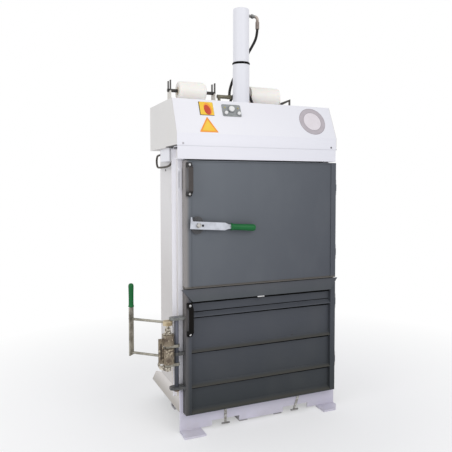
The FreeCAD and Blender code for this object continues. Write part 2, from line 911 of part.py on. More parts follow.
# ---------------------------------------------------------------- chamber
def make_chamber():
    front = "(0 - chamber_front)"
    rear_in = "(chamber_rear - rear_plate)"
    tall = ("base_top", "deck_bottom")
    walls = {}
    for side, word in ((-1, "left"), (1, "right")):
        out = WALL[side]
        x = (out, f"{out} + wall_plate") if side < 0 else (f"{out} - wall_plate", out)
        walls[side] = block(f"wall_{word}", x, (front, rear_in), tall)
    node("rear_wall", block("wall_rear", (WALL[-1], WALL[1]), (rear_in, "chamber_rear"), tall))

    for side, word in ((-1, "left"), (1, "right")):
        wall = WALL[side]
        web = f"({wall} + {side} * post_inner)"
        tip = f"({web} + {side} * post_outer)"
        step = f"({front} + post_step)"
        outline = [
            (tip, step),
            (web, step),
            (web, front),
            (wall, front),
            (wall, f"{front} + post_sheet"),
            (f"{web} - {side} * post_sheet", f"{front} + post_sheet"),
            (f"{web} - {side} * post_sheet", f"{step} + post_sheet"),
            (tip, f"{step} + post_sheet"),
        ]
        tall_post = "deck_bottom - post_bottom"
        post = profile(f"post_{word}", "XY_Plane", [outline], tall_post, z="post_bottom")
        node(f"side_wall_{word}", fuse(f"wall_and_post_{word}", walls[side], post))

    x = "(0 - chamber_offset)"
    deck = block("top_deck", (WALL[-1], WALL[1]), (front, "chamber_rear"), ("deck_bottom", "seam"))
    hole = rod("top_deck_hole", "rod_radius + running_gap", "head_deck", x, "cylinder_y", "deck_bottom")
    node("cylinder_deck", cut("top_deck_cut", deck, hole))

    beam_front = "(0 - beam_front)"
    section = [
        (beam_front, "beam_bottom"),
        (front, "beam_bottom"),
        (front, "beam_bottom + beam_sheet"),
        (f"{beam_front} + beam_sheet", "beam_bottom + beam_sheet"),
        (f"{beam_front} + beam_sheet", "seam - beam_sheet"),
        (front, "seam - beam_sheet"),
        (front, "seam"),
        (beam_front, "seam"),
    ]
    node("head_beam", profile("beam", "YZ_Plane", [section], "beam_left + beam_right", x="-beam_left"))


# ---------------------------------------------------------------- hood
def make_hood():
    front = "(0 - beam_front)"
    side_outline = [
        (front, "seam"),
        (front, "bend"),
        (HOOD_TOP_FRONT, "hood_top"),
        ("hood_rear", "hood_top"),
        ("hood_rear", "seam"),
    ]
    left = profile("hood_left_side", "YZ_Plane", [side_outline], "hood_sheet", x="-hood_left")
    right_x = "hood_right - hood_sheet"
    node("hood_side_right", profile("hood_right_side", "YZ_Plane", [side_outline], "hood_sheet", x=right_x))

    inside = ("hood_sheet - hood_left", "hood_right - hood_sheet")
    fold = "(hood_sheet * tan(atan(hood_setback / hood_rise) / 2))"
    lean = "(hood_sheet / cos(atan(hood_setback / hood_rise)))"
    section = [
        (front, "seam"),
        (front, "bend"),
        (HOOD_TOP_FRONT, "hood_top"),
        (f"{HOOD_TOP_FRONT} + {lean}", "hood_top"),
        (f"{front} + hood_sheet", f"bend - {fold}"),
        (f"{front} + hood_sheet", "seam"),
    ]
    width = f"{inside[1]} - ({inside[0]})"
    node("hood_front_cover", profile("hood_cover", "YZ_Plane", [section], width, x=inside[0]))

    x = "(0 - chamber_offset)"
    top_z = ("hood_top - hood_sheet", "hood_top")
    top = block("hood_lid", inside, (f"{HOOD_TOP_FRONT} + {lean}", "hood_rear"), top_z)
    hole = rod("hood_lid_hole", "barrel_radius + hood_hole_gap", "hood_sheet", x, "cylinder_y", top_z[0])
    rear_y = ("hood_rear - hood_sheet", "hood_rear")
    back = block("hood_back", inside, rear_y, ("seam", top_z[0]))
    node("hood_top_cover", cut("hood_lid_cut", fuse("hood_lid_and_back", top, back), hole))
    floor_x = (inside[0], WALL[-1])
    floor_y = ("-overhang_front", rear_y[0])
    flange = block("hood_under", floor_x, floor_y, ("seam", "seam + hood_sheet"))
    node("hood_side_left", fuse("hood_left_folded", left, flange))

    dome = [
        ("0", "0"),
        ("screw_radius", "0"),
        ("screw_radius * 0.8", "screw_dome * 0.6"),
        ("screw_radius * 0.45", "screw_dome"),
        ("0", "screw_dome"),
    ]
    screws = []
    for word, x in (("left", "-screw_left"), ("right", "screw_right")):
        screw = lathe(f"hood_screw_{word}", dome, x=x, y=front, z="seam + screw_up", along="y")
        screw.Placement.Rotation = FreeCAD.Rotation(Vector(1, 0, 0), 90)
        screws.append(screw)
    node("hood_screws", group("screws", screws))


def make_signs():
    size = "sign_size"
    square = doc.addObject("Part::Box", "square")
    bind(square, "Length", size)
    bind(square, "Width", size)
    bind(square, "Height", "sign_sheet")
    on_slope(square, f"0 - sign_x - {size} / 2", f"sign_up - {size} / 2")

    outline = [("-warning_width / 2", "0"), ("warning_width / 2", "0"), ("0", "warning_height")]
    triangle = profile("triangle", "XY_Plane", [outline], "sign_sheet")
    round_edges(triangle, "triangle_corners", "sign_corner", upright)
    on_slope(triangle, "-warning_x", "warning_up")
    node("front_signs", group("signs", [square, triangle]))

    badge = doc.addObject("Part::Cylinder", "badge")
    bind(badge, "Radius", "badge_radius")
    bind(badge, "Height", "sign_sheet")
    on_slope(badge, "badge_x", "badge_up")
    node("round_badge", badge)


def make_controls():
    wide = "panel_width / 2"
    high = "panel_height / 2"
    outline = [(f"-{wide}", f"-{high}"), (wide, f"-{high}"), (wide, high), (f"-{wide}", high)]
    plate = profile("panel", "XY_Plane", [outline], "panel_sheet")
    round_edges(plate, "panel_corners", "panel_corner", upright)
    on_slope(plate, "-panel_x", "panel_up")

    buttons = (
        ("main", "-main_button_x", "main_button_up", "main_button"),
        ("left", "-side_button_left", "side_button_up", "side_button"),
        ("right", "-side_button_right", "side_button_up", "side_button"),
    )
    collars = []
    for word, x, up, radius in buttons:
        inner = f"({radius} + button_gap)"
        outer = f"({inner} + collar_wall)"
        ring = [
            (inner, "0"),
            (outer, "0"),
            (outer, "collar_tall * 0.6"),
            (f"{outer} - collar_wall * 0.4", "collar_tall"),
            (inner, "collar_tall"),
        ]
        collar = lathe(f"collar_{word}", ring)
        collars.append(on_slope(collar, x, up, "panel_sheet"))
        cap = [
            ("0", "0"),
            (radius, "0"),
            (radius, "button_proud * 0.75"),
            (f"{radius} * 0.86", "button_proud"),
            ("0", "button_proud"),
        ]
        button = lathe(f"cap_{word}", cap)
        node(f"button_{word}", on_slope(button, x, up, "panel_sheet + button_rest"))

    lamps = []
    for word, x in (("left", "-lamp_left"), ("right", "-lamp_right")):
        dome = [
            ("0", "0"),
            ("lamp_radius", "0"),
            ("lamp_radius", "lamp_tall * 0.4"),
            ("lamp_radius * 0.6", "lamp_tall"),
            ("0", "lamp_tall"),
        ]
        lamps.append(on_slope(lathe(f"lamp_{word}", dome), x, "lamp_up", "panel_sheet"))
    node("control_plate", group("panel_fittings", [plate, *collars, *lamps]))


# ---------------------------------------------------------------- doors
def frame_outline(bottom, top, top_rail):
    half = "(door_width / 2)"
    inner = f"({half} - stile)"
    outer = [(f"-{half}", bottom), (half, bottom), (half, top), (f"-{half}", top)]
    hole = [
        (f"-{inner}", f"{bottom} + low_rail"),
        (inner, f"{bottom} + low_rail"),
        (inner, f"{top} - {top_rail}"),
        (f"-{inner}", f"{top} - {top_rail}"),
    ]
    return outer, hole


BOW_X = "(bow_inset - door_width / 2)"


def bow_bolt_heights(middle):
    return [(word, f"({middle} + {side} * bow_bolt_spacing / 2)") for side, word in ((-1, "low"), (1, "high"))]


def bow_handle(name, middle):
    """A bridge-shaped pull with sloped ends. A pocket in each end goes down to the seat of its bolt."""
    face = "(0 - door_front)"
    end = "(bow_bolt_spacing / 2 + bow_foot_half)"
    foot = "(bow_foot_half * 2)"
    outline = [
        (face, f"{middle} - {end}"),
        (face, f"{middle} - {end} + {foot}"),
        (f"{face} - bow_reach + bow_grip", f"{middle} - {end} + {foot} + bow_foot_half * 0.6"),
        (f"{face} - bow_reach + bow_grip", f"{middle} + {end} - {foot} - bow_foot_half * 0.6"),
        (face, f"{middle} + {end} - {foot}"),
        (face, f"{middle} + {end}"),
        (f"{face} - bow_seat", f"{middle} + {end}"),
        (f"{face} - bow_reach", f"{middle} + {end} - {foot}"),
        (f"{face} - bow_reach", f"{middle} - {end} + {foot}"),
        (f"{face} - bow_seat", f"{middle} - {end}"),
    ]
    bow = profile(name + "_bow", "YZ_Plane", [outline], "bow_width", x=f"{BOW_X} - bow_width / 2")

    def outer_long(edge, ends):
        if len(ends) != 2:
            return False
        limit = number(f"{face} - bow_seat") + 0.5
        return max(point.y for point in ends) < limit and abs(ends[0].x - ends[1].x) < 0.1

    round_edges(bow, name + "_rounding", "bow_grip * 0.35", outer_long)
    pockets = []
    for word, z in bow_bolt_heights(middle):
        tool = rod(f"{name}_pocket_{word}", "bow_bolt_head + bow_bolt_room", "bow_reach - bow_seat + cut_over",
                   BOW_X, f"{face} - bow_reach - cut_over", z, "y")
        pockets.append(tool)
    return cut(name + "_pocketed", bow, fuse(name + "_pockets", *pockets))


def make_upper_door():
    bottom = "upper_bottom"
    outer, hole = frame_outline(bottom, "upper_top", "upper_top_rail")
    frame = profile("upper_frame", "XZ_Plane", [outer, hole], "door_depth", y=DOOR_BACK)
    knuckles = make_knuckles("upper", ("upper_hinge_low", "upper_hinge_high"))
    node("upper_door_frame", group("upper_frame_and_knuckles", [frame, *knuckles]))
    inner = "(door_width / 2 - stile)"
    low = f"({bottom} + low_rail)"
    high = "(upper_top - upper_top_rail)"
    panel = block("upper_sheet", (f"-{inner}", inner), (UPPER_FRONT, UPPER_BACK), (low, high))
    shaft_hole = rod("upper_shaft_hole", "lever_shaft + running_gap", "door_sheet",
                     "-lever_x", UPPER_FRONT, "lever_z", "y")
    node("upper_door_panel", cut("upper_sheet_cut", panel, shaft_hole))
    make_bow("upper_door_handle", "upper_bow_height")


RIB_COUNT = 4


def make_lower_door():
    outer, hole = frame_outline("door_bottom", "lower_top", "stile")
    frame = profile("lower_frame", "XZ_Plane", [outer, hole], "door_depth", y=DOOR_BACK)
    clear = [
        ("-lip_low_half - lip_gap", f"{LIP_BOTTOM} - lip_gap"),
        ("lip_low_half + lip_gap", f"{LIP_BOTTOM} - lip_gap"),
        ("lip_top_half + lip_gap", "lower_top + lip_gap"),
        ("-lip_top_half - lip_gap", "lower_top + lip_gap"),
    ]
    relief = profile("lip_relief", "XZ_Plane", [clear], "door_front - lip_back + cut_over", y="-lip_back")
    knuckles = make_knuckles("lower", ("lower_hinge_low", "lower_hinge_high"))
    framed = cut("lower_frame_cut", frame, relief)
    node("lower_door_frame", group("lower_frame_and_knuckles", [framed, *knuckles]))

    inner = "(door_width / 2 - stile)"
    low = "(door_bottom + low_rail)"
    high = "(lower_top - stile)"
    panel = block("lower_sheet", (f"-{inner}", inner), (PANEL_FRONT, PANEL_BACK), (low, high))
    node("lower_door_panel", panel)

    ribs = []
    for index in range(RIB_COUNT):
        below = RIB_COUNT - 1 - index
        base = low if index == 0 else f"({LIP_BOTTOM} - rib_drop - {below} * rib_pitch)"
        nose = f"({PANEL_FRONT} - rib_reach)"
        outline = [
            (PANEL_FRONT, base),
            (nose, base),
            (nose, f"{base} + rib_nose"),
            (PANEL_FRONT, f"{base} + rib_height"),
        ]
        ribs.append(profile(f"rib_{index}", "YZ_Plane", [outline], f"2 * {inner}", x=f"-{inner}"))
    node("lower_door_ribs", group("ribs", ribs))

    section = [
        ("-lip_back", "lower_top"),
        ("-lip_top_front", "lower_top"),
        ("-lip_low_front", f"{LIP_BOTTOM} + lip_land"),
        ("-lip_low_front", LIP_BOTTOM),
        ("-lip_back", LIP_BOTTOM),
    ]
    bar = profile("lip_bar", "YZ_Plane", [section], "2 * lip_top_half", x="-lip_top_half")
    trapezoid = [
        ("-lip_low_half", LIP_BOTTOM),
        ("lip_low_half", LIP_BOTTOM),
        ("lip_top_half", "lower_top"),
        ("-lip_top_half", "lower_top"),
    ]
    mask = profile("lip_mask", "XZ_Plane", [trapezoid], "lip_low_front", y="0")
    catch = block(
        "catch",
        ("0 - catch_offset - catch_width / 2", "catch_width / 2 - catch_offset"),
        ("-lip_low_front", "catch_depth - lip_low_front"),
        (f"{LIP_BOTTOM} - catch_height", LIP_BOTTOM),
    )
    node("lower_door_lip", group("lip_and_catch", [common("lip", bar, mask), catch]))
    make_bow("lower_door_handle", "lower_bow_height")


def make_bow(name, middle):
    """The handle and its two bolts, whose heads sit at the bottom of the handle's pockets."""
    pieces = [bow_handle(name, middle)]
    y = "(0 - door_front - bow_seat - bow_bolt_tall)"
    for word, z in bow_bolt_heights(middle):
        pieces.append(rod(f"{name}_bolt_{word}", "bow_bolt_head", "bow_bolt_tall", BOW_X, y, z, "y"))
    node(name, group(name + "_set", pieces))


def make_knuckles(word, heights):
    """The eyes of one door that turn on the hinge pins."""
    knuckles = []
    for index, middle in enumerate(heights):
        tag = f"{word}_{index}"
        low = f"({middle} - knuckle_tall / 2)"
        eye = rod(f"knuckle_eye_{tag}", "hinge_eye", "knuckle_tall", "hinge_x", "-hinge_y", low)
        leaf = block(
            f"knuckle_leaf_{tag}",
            ("door_width / 2", "hinge_x"),
            ("0 - hinge_y - hinge_eye", DOOR_BACK),
            (low, f"{low} + knuckle_tall"),
        )
        bore_radius = "hinge_pin + running_gap"
        bore = rod(f"knuckle_bore_{tag}", bore_radius, "knuckle_tall", "hinge_x", "-hinge_y", low)
        knuckles.append(cut(f"knuckle_{tag}", fuse(f"knuckle_body_{tag}", eye, leaf), bore))
    return knuckles


def make_hinges():
    lugs = []
    pins = []
    step = "(post_step - chamber_front)"
    heights = ("lower_hinge_low", "lower_hinge_high", "upper_hinge_low", "upper_hinge_high")
    for index, middle in enumerate(heights):
        reach = "(knuckle_tall / 2 + lug_gap)"
        starts = (f"({middle} - {reach} - lug_tall)", f"({middle} + {reach})")
        for word, low in zip(("low", "high"), starts):
            tag = f"{index}_{word}"
            eye = rod(f"lug_eye_{tag}", "hinge_eye", "lug_tall", "hinge_x", "-hinge_y", low)
            arm = block(
                f"lug_arm_{tag}",
                ("hinge_x - hinge_eye", "hinge_x + hinge_eye"),
                ("-hinge_y", step),
                (low, f"{low} + lug_tall"),
            )
            bore = rod(f"lug_bore_{tag}", "hinge_pin + running_gap", "lug_tall", "hinge_x", "-hinge_y", low)
            lugs.append(cut(f"lug_{tag}", fuse(f"lug_body_{tag}", eye, arm), bore))
        foot = f"({middle} - {reach} - lug_tall - pin_over)"
        head = f"({middle} + {reach} + lug_tall)"
        shank = rod(f"pin_{index}", "hinge_pin", f"{head} - {foot}", "hinge_x", "-hinge_y", foot)
        cap = rod(f"pin_cap_{index}", "pin_head", "pin_head_tall", "hinge_x", "-hinge_y", head)
        pins.append(fuse(f"hinge_pin_{index}", shank, cap))
    node("hinge_lugs", group("lugs", lugs))
    node("hinge_pins", group("pins", pins))


# ---------------------------------------------------------------- lever of the upper door
def tilted(thing, x="0", z="0", y="0"):
    """Turns a piece drawn about the lever's pivot by the lever's tilt, seen from the front."""
    turn(thing, Vector(0, 1, 0), "lever_tilt")
    angle = "(lever_tilt * 1deg)"
    place(
        thing,
        f"0 - lever_x + ({x}) * cos({angle}) + ({z}) * sin({angle})",
        y,
        f"lever_z - ({x}) * sin({angle}) + ({z}) * cos({angle})",
    )
    return thing


def make_upper_lever():
    width = "(boss_width / 2)"
    straight = "(boss_height / 2 - boss_width / 2)"
    disc_y = "(0 - boss_front)"
    depth = f"({UPPER_FRONT} + boss_front)"
    top = rod("boss_top", width, depth, "-lever_x", disc_y, f"lever_z + {straight}", "y")
    low = rod("boss_low_round", width, depth, "-lever_x", disc_y, f"lever_z - {straight}", "y")
    middle = block(
        "boss_middle",
        (f"0 - lever_x - {width}", f"{width} - lever_x"),
        (disc_y, UPPER_FRONT),
        (f"lever_z - {straight}", f"lever_z + {straight}"),
    )
    bore = rod("boss_bore", "lever_shaft + running_gap", depth, "-lever_x", disc_y, "lever_z", "y")
    node("lever_boss", cut("boss", fuse("boss_body", top, low, middle), bore))

    back = f"({disc_y} - lever_gap)"
    half = "(lever_bar_tall / 2)"
    tang_end = "lever_grip_start + lever_grip_long - lever_grip_radius * 0.6"
    outline = [
        ("-lever_bar_left", f"-{half}"),
        ("lever_bar_right - lever_tang", f"-{half}"),
        ("lever_bar_right", "-lever_tang / 2"),
        (tang_end, "-lever_tang / 2"),
        (tang_end, "lever_tang / 2"),
        ("lever_bar_right", "lever_tang / 2"),
        ("lever_bar_right - lever_tang", half),
        ("2 * lever_tab_wide - lever_bar_left", half),
        ("lever_tab_wide - lever_bar_left", f"{half} + lever_tab_tall"),
        ("-lever_bar_left", f"{half} + lever_tab_tall"),
    ]
    square = "(square_hole / 2)"
    window = [
        (f"square_hole_offset - {square}", f"-{square}"),
        (f"square_hole_offset + {square}", f"-{square}"),
        (f"square_hole_offset + {square}", square),
        (f"square_hole_offset - {square}", square),
    ]
    bar = profile("lever_flat", "XZ_Plane", [outline, window], "lever_bar_thick")
    node("lever_bar", tilted(bar, y=back))

    radius = "lever_grip_radius"
    slot = [
        ("0", "0"),
        (f"{radius} * 0.75", "0"),
        (radius, f"{radius} * 0.25"),
        (radius, f"lever_grip_long - {radius} * 0.45"),
        (f"{radius} * 0.55", "lever_grip_long"),
        ("0", "lever_grip_long"),
    ]
    grip = lathe("lever_grip_solid", slot)
    grip.Placement = FreeCAD.Placement(Vector(number("lever_grip_start"), 0, 0), TURNS["x"])
    bind(grip, "Placement.Base.x", "lever_grip_start")
    tang = block(
        "grip_socket",
        ("lever_grip_start - cut_over", tang_end),
        ("-lever_bar_thick / 2", "lever_bar_thick / 2"),
        ("-lever_tang / 2", "lever_tang / 2"),
    )
    sleeve = cut("lever_grip_cut", grip, tang)
    node("lever_grip", tilted(sleeve, y=f"{back} - lever_bar_thick / 2"))

    bolt_y = f"({back} - lever_bar_thick)"
    head = hexagon("lever_bolt_head", "lever_bolt_flats", "lever_bolt_tall",
                   "-lever_x", f"{bolt_y} - lever_bolt_tall", "lever_z", "y")

    tongue_front = "(0 - tongue_back - tongue_thick)"
    shaft_long = f"{tongue_front} - {back}"
    shaft = rod("lever_shaft_bar", "lever_shaft", shaft_long, "-lever_x", back, "lever_z", "y")
    tongue_half = "(tongue_tall / 2)"
    finger = [
        ("tongue_tall", f"-{tongue_half} - tongue_flare"),
        ("tongue_tall", f"{tongue_half} + tongue_flare"),
        ("-tongue_reach / 2", f"{tongue_half} + tongue_flare"),
        ("-tongue_reach", tongue_half),
        ("-tongue_reach", f"-{tongue_half}"),
        ("-tongue_reach / 2", f"-{tongue_half} - tongue_flare"),
    ]
    tongue = profile("tongue_plate", "XZ_Plane", [finger], "tongue_thick",
                     x="-lever_x", y="-tongue_back", z="lever_z")
    node("lever_spindle", group("bolt_and_spindle", [head, fuse("shaft_and_tongue", shaft, tongue)]))

    wall_in = f"({WALL[-1]} + wall_plate)"
    keeper = block(
        "keeper",
        (wall_in, f"{wall_in} + keeper_width"),
        ("-keeper_front", "keeper_thick - keeper_front"),
        ("lever_z - keeper_drop - keeper_tall", "lever_z - keeper_drop"),
    )
    return keeper


# ---------------------------------------------------------------- cylinder and platen
def make_cylinder():
    x = "(0 - chamber_offset)"
    bore = "cylinder_bore"
    gland = "(rod_radius + running_gap)"
    flange_top = "(seam + flange_tall)"
    tube = [
        (gland, "seam"),
        ("flange_radius", "seam"),
        ("flange_radius", flange_top),
        ("barrel_radius", flange_top),
        ("barrel_radius", "ring_low"),
        (bore, "ring_low"),
        (bore, flange_top),
        (gland, flange_top),
    ]
    node("cylinder_barrel", lathe("barrel", tube, x=x, y="cylinder_y"))
    high = "(ring_low + ring_tall)"
    band = [(bore, "ring_low"), ("ring_radius", "ring_low"), ("ring_radius", high), (bore, high)]
    node("cylinder_ring", lathe("ring", band, x=x, y="cylinder_y"))
    cap = [
        (bore, high),
        ("cap_radius", high),
        ("cap_radius", "cylinder_top"),
        ("0", "cylinder_top"),
        ("0", "cylinder_top - cap_end"),
        (bore, "cylinder_top - cap_end"),
    ]
    shell = lathe("cap_tube", cap, x=x, y="cylinder_y")

    def top_edge(edge, ends):
        level = number("cylinder_top")
        return all(abs(point.z - level) < 0.1 for point in ends) and edge.Length > number("cap_radius")

    round_edges(shell, "cap_shoulder", "cap_round", top_edge)
    node("cylinder_cap_tube", shell)

    piston_low = "(piston_top - piston_tall)"
    ram = [
        ("0", PLATEN_TOP),
        ("rod_radius", PLATEN_TOP),
        ("rod_radius", piston_low),
        (f"{bore} - running_gap", piston_low),
        (f"{bore} - running_gap", "piston_top"),
        ("0", "piston_top"),
    ]
    node("piston_rod", lathe("ram", ram, x=x, y="cylinder_y"))


BAY_COLUMNS = 6
BAY_LINES = 2
CLOSED_COLUMNS = (2, 3)


def make_platen():
    """A box open at its top, with ribs and a closed middle under the piston rod."""
    left = f"({WALL[-1]} + wall_plate + platen_side_gap)"
    right = f"({WALL[1]} - wall_plate - platen_side_gap)"
    front = "(0 - platen_front)"
    rear = "(chamber_rear - rear_plate - platen_rear_gap)"
    wide = f"({right} - {left})"
    deep = f"({rear} - {front})"
    solid = block("platen_solid", (left, right), (front, rear), ("platen_bottom", PLATEN_TOP))
    bay_x = f"(({wide} - {BAY_COLUMNS + 1} * platen_rib) / {BAY_COLUMNS})"
    bay_y = f"(({deep} - {BAY_LINES + 1} * platen_rib) / {BAY_LINES})"
    pockets = []
    for column in range(BAY_COLUMNS):
        for line in range(BAY_LINES):
            if column in CLOSED_COLUMNS:
                continue
            low_x = f"({left} + platen_rib + {column} * ({bay_x} + platen_rib))"
            low_y = f"({front} + platen_rib + {line} * ({bay_y} + platen_rib))"
            pockets.append(block(
                f"platen_bay_{column}_{line}",
                (low_x, f"{low_x} + {bay_x}"),
                (low_y, f"{low_y} + {bay_y}"),
                ("platen_bottom + platen_skin", PLATEN_TOP),
            ))
    first = CLOSED_COLUMNS[0]
    low_x = f"({left} + {first + 1} * platen_rib + {first} * {bay_x})"
    centre = (low_x, f"{low_x} + 2 * {bay_x} + platen_rib")
    for line in range(BAY_LINES):
        low_y = f"({front} + platen_rib + {line} * ({bay_y} + platen_rib))"
        pockets.append(block(
            f"platen_well_{line}",
            centre,
            (low_y, f"{low_y} + {bay_y}"),
            ("platen_bottom + platen_skin", f"{PLATEN_TOP} - platen_skin"),
        ))
    node("press_platen", cut("platen", solid, fuse("platen_bays", *pockets)))


# ---------------------------------------------------------------- hoses and cable
def tube(name, radius, points):
    """A hose along straight runs joined by tangent arcs through hand-chosen points."""
    spots = [Vector(*point) for point in points]
    edges = []
    start = spots[0]
    radii = []
    for before, corner, after in zip(spots, spots[1:], spots[2:]):
        back = before - corner
        ahead = after - corner
        turn = math.pi - back.getAngle(ahead)
        reach = 0.45 * min(back.Length, ahead.Length)
        radii.append(reach / math.tan(turn / 2))
        back.normalize()
        ahead.normalize()
        enter = corner + back * reach
        leave = corner + ahead * reach
        middle_way = (back + ahead).normalize()
        bow = radii[-1] * (1 / math.cos(turn / 2) - 1)
        edges.append(Part.LineSegment(start, enter).toShape())
        edges.append(Part.Arc(enter, corner + middle_way * bow, leave).toShape())
        start = leave
    edges.append(Part.LineSegment(start, spots[-1]).toShape())
    path = Part.Wire(edges)
    section = Part.Wire([Part.Circle(spots[0], spots[1] - spots[0], radius).toShape()])
    solid = path.makePipeShell([section], True, False)
    hose = doc.addObject("Part::Feature", name)
    hose.Shape = solid
    expected = math.pi * radius * radius * path.Length
    least = min(radii) / (2 * radius)
    print(f"{name}: length {path.Length:.0f}, least radius {least:.1f} diameters,",
          f"volume {solid.Volume / expected:.4f} of section x length")
    return hose


PRESSURE_ROUTE = (
    (89, 4, 2333),
    (88, 8, 2298),
    (80, 20, 2262),
    (69, 40, 2232),
    (53, 58, 2196),
    (31, 70, 2152),
    (7, 76, 2108),
    (-20, 77, 2066),
    (-44, 75, 2028),
    (-57, 72, 1996),
    (-66, 70, 1968),
    (-70.6, 70, 1946),
    (-71, 70, 1928.4),
)
RETURN_ROUTE = (
    (-21, 69, 1985.4),
    (-22, 70, 1962),
    (-34, 74, 1938),
    (-50, 80, 1914),
    (-60, 84, 1888),
    (-62, 85, 1866),
    (-62, 85, 1844),
)
SIDE_ROUTE = (
    (33, 38, 1992.6),
    (33, 37, 1972),
    (35.5, 32, 1950),
    (41, 22, 1926),
    (48, 11, 1902),
    (55, 3, 1878),
    (58, 0, 1862),
    (58.5, -0.5, 1844.4),
)
CABLE_ROUTE = (
    (-500, 93, 1551),
    (-500, 178.5, 1551),
    (-500, 198, 1537),
    (-500, 205.3, 1514),
    (-500, 198, 1491),
    (-500, 178.5, 1477),
    (-500, 120, 1475.5),
    (-500, 55, 1475),
    (-500, -5, 1476),
    (-500, -55, 1480),
    (-500, -92, 1491),
    (-500, -122, 1506),
    (-500, -145, 1506),
)


def make_ports():
    x = "(0 - chamber_offset)"
    wall = number("cap_radius - chamber_offset")
    port_x = number("port_x")
    port_z = number("port_z")
    bend = number("port_bend")
    y = number("cylinder_y")
    entry = Vector(wall - number("cut_over"), y, port_z)
    corner_start = Vector(port_x - bend, y, port_z)
    half = bend * (1 - math.sqrt(0.5))
    corner_middle = Vector(port_x - half, y, port_z - half)
    corner_end = Vector(port_x, y, port_z - bend)
    end = Vector(port_x, y, number("port_end"))
    path = Part.Wire([
        Part.LineSegment(entry, corner_start).toShape(),
        Part.Arc(corner_start, corner_middle, corner_end).toShape(),
        Part.LineSegment(corner_end, end).toShape(),
    ])
    section = Part.Wire([Part.Circle(entry, Vector(1, 0, 0), number("port_radius")).toShape()])
    bent = doc.addObject("Part::Feature", "port_bend_pipe")
    bent.Shape = path.makePipeShell([section], True, False)
    keep = rod("port_trim", "cap_radius", "cap_end * 6", x, "cylinder_y", "port_z - cap_end * 3")
    elbow = cut("port_elbow_cut", bent, keep)
    nut = hexagon("port_hex", "port_nut_flats", "port_nut_long", "port_nut_x", "cylinder_y", "port_z", "x")
    hole = rod("port_hex_bore", "port_radius", "port_nut_long", "port_nut_x", "cylinder_y", "port_z", "x")
    nut_ring = cut("port_nut_cut", nut, hole)
    ferrule_low = "port_end - ferrule_long"
    ferrule = rod("ferrule", "ferrule_radius", "ferrule_long", "port_x", "cylinder_y", ferrule_low)
    hoses = [
        tube("pressure_line", number("hose_radius"), PRESSURE_ROUTE),
        tube("return_line", number("hose_radius"), RETURN_ROUTE),
        tube("side_line", number("hose_radius"), SIDE_ROUTE),
    ]
    node("hydraulic_hoses", group("hoses", hoses))
    stubs = []
    size = "port_block"
    spots = (
        ("side", "side_block_x", "side_block_y", "side_port_z"),
        ("rear", x, "rear_block_y", "rear_port_z"),
    )
    for word, block_x, block_y, block_z in spots:
        cube = block(
            f"{word}_port",
            (f"{block_x} - {size} / 2", f"{block_x} + {size} / 2"),
            (f"{block_y} - {size} / 2", f"{block_y} + {size} / 2"),
            (f"{block_z} - {size} / 2", f"{block_z} + {size} / 2"),
        )
        core_low = f"{block_z} - {size} / 2 - cut_over"
        core = rod(f"{word}_core", "barrel_radius", f"{size} + 2 * cut_over", x, "cylinder_y", core_low)
        neck = port_neck(word, block_x, block_y, block_z)
        stubs.append(cut(f"{word}_port_stub", fuse(f"{word}_port_body", cube, neck), core))

    block_left = f"(0 - union_block_x - {size} / 2)"
    across_long = f"{block_left} + union_left"
    across = rod("union_bar", "union_radius", across_long, "-union_left", "union_y", "union_z", "x")
    riser = rod("union_riser", "riser_radius", "union_z - hood_top", "-riser_x", "union_y", "hood_top")
    cube = block(
        "union_block",
        (block_left, f"{block_left} + {size}"),
        (f"union_y - {size} / 2", f"union_y + {size} / 2"),
        (f"union_z - {size} / 2", f"union_z + {size} / 2 + union_cap"),
    )
    grommets = []
    for word, (spot_x, spot_y, _) in (("return", RETURN_ROUTE[-1]), ("side", SIDE_ROUTE[-1])):
        inner = "(hose_radius + hose_gap)"
        outer = rod(f"grommet_{word}", f"{inner} + grommet_wall", "grommet_tall", spot_x, spot_y, "hood_top")
        bore = rod(f"grommet_bore_{word}", inner, "grommet_tall", spot_x, spot_y, "hood_top")
        grommets.append(cut(f"grommet_ring_{word}", outer, bore))
    fittings = [elbow, nut_ring, ferrule, *stubs, fuse("union", across, riser, cube), *grommets]
    node("hydraulic_fittings", group("fittings", fittings))


def port_neck(word, block_x, block_y, block_z):
    """The short round neck that joins a port's block to the barrel."""
    x = "(0 - chamber_offset)"
    if word == "side":
        return rod("side_neck", "port_radius", f"{block_x} + chamber_offset", x, block_y, block_z, "x")
    return rod("rear_neck", "port_radius", f"{block_y} - cylinder_y", x, "cylinder_y", block_z, "y")


def make_cable():
    """A small housing under the hood, and the cable that hangs from its gland to a plug in front of it."""
    half = "(connector_wide / 2)"
    middle = "(0 - (connector_front + connector_rear) / 2)"
    conduit = rod("conduit", "conduit_radius", "connector_drop", "-cable_x", middle, "connector_high")
    connector = block(
        "connector",
        (f"0 - cable_x - {half}", f"{half} - cable_x"),
        ("-connector_front", "-connector_rear"),
        ("connector_low", "connector_high"),
    )
    housing = block(
        "cable_housing",
        ("0 - cable_x - housing_thick / 2", "housing_thick / 2 - cable_x"),
        ("-housing_front", "housing_rear"),
        ("seam - housing_tall", "seam"),
    )
    gland = rod("gland", "gland_radius", "gland_long", "-cable_x", "housing_rear", "seam - gland_drop", "y")
    cable = tube("cable", number("cable_radius"), CABLE_ROUTE)
    node("cable_loop", group("cable_and_ends", [conduit, connector, housing, gland, cable]))


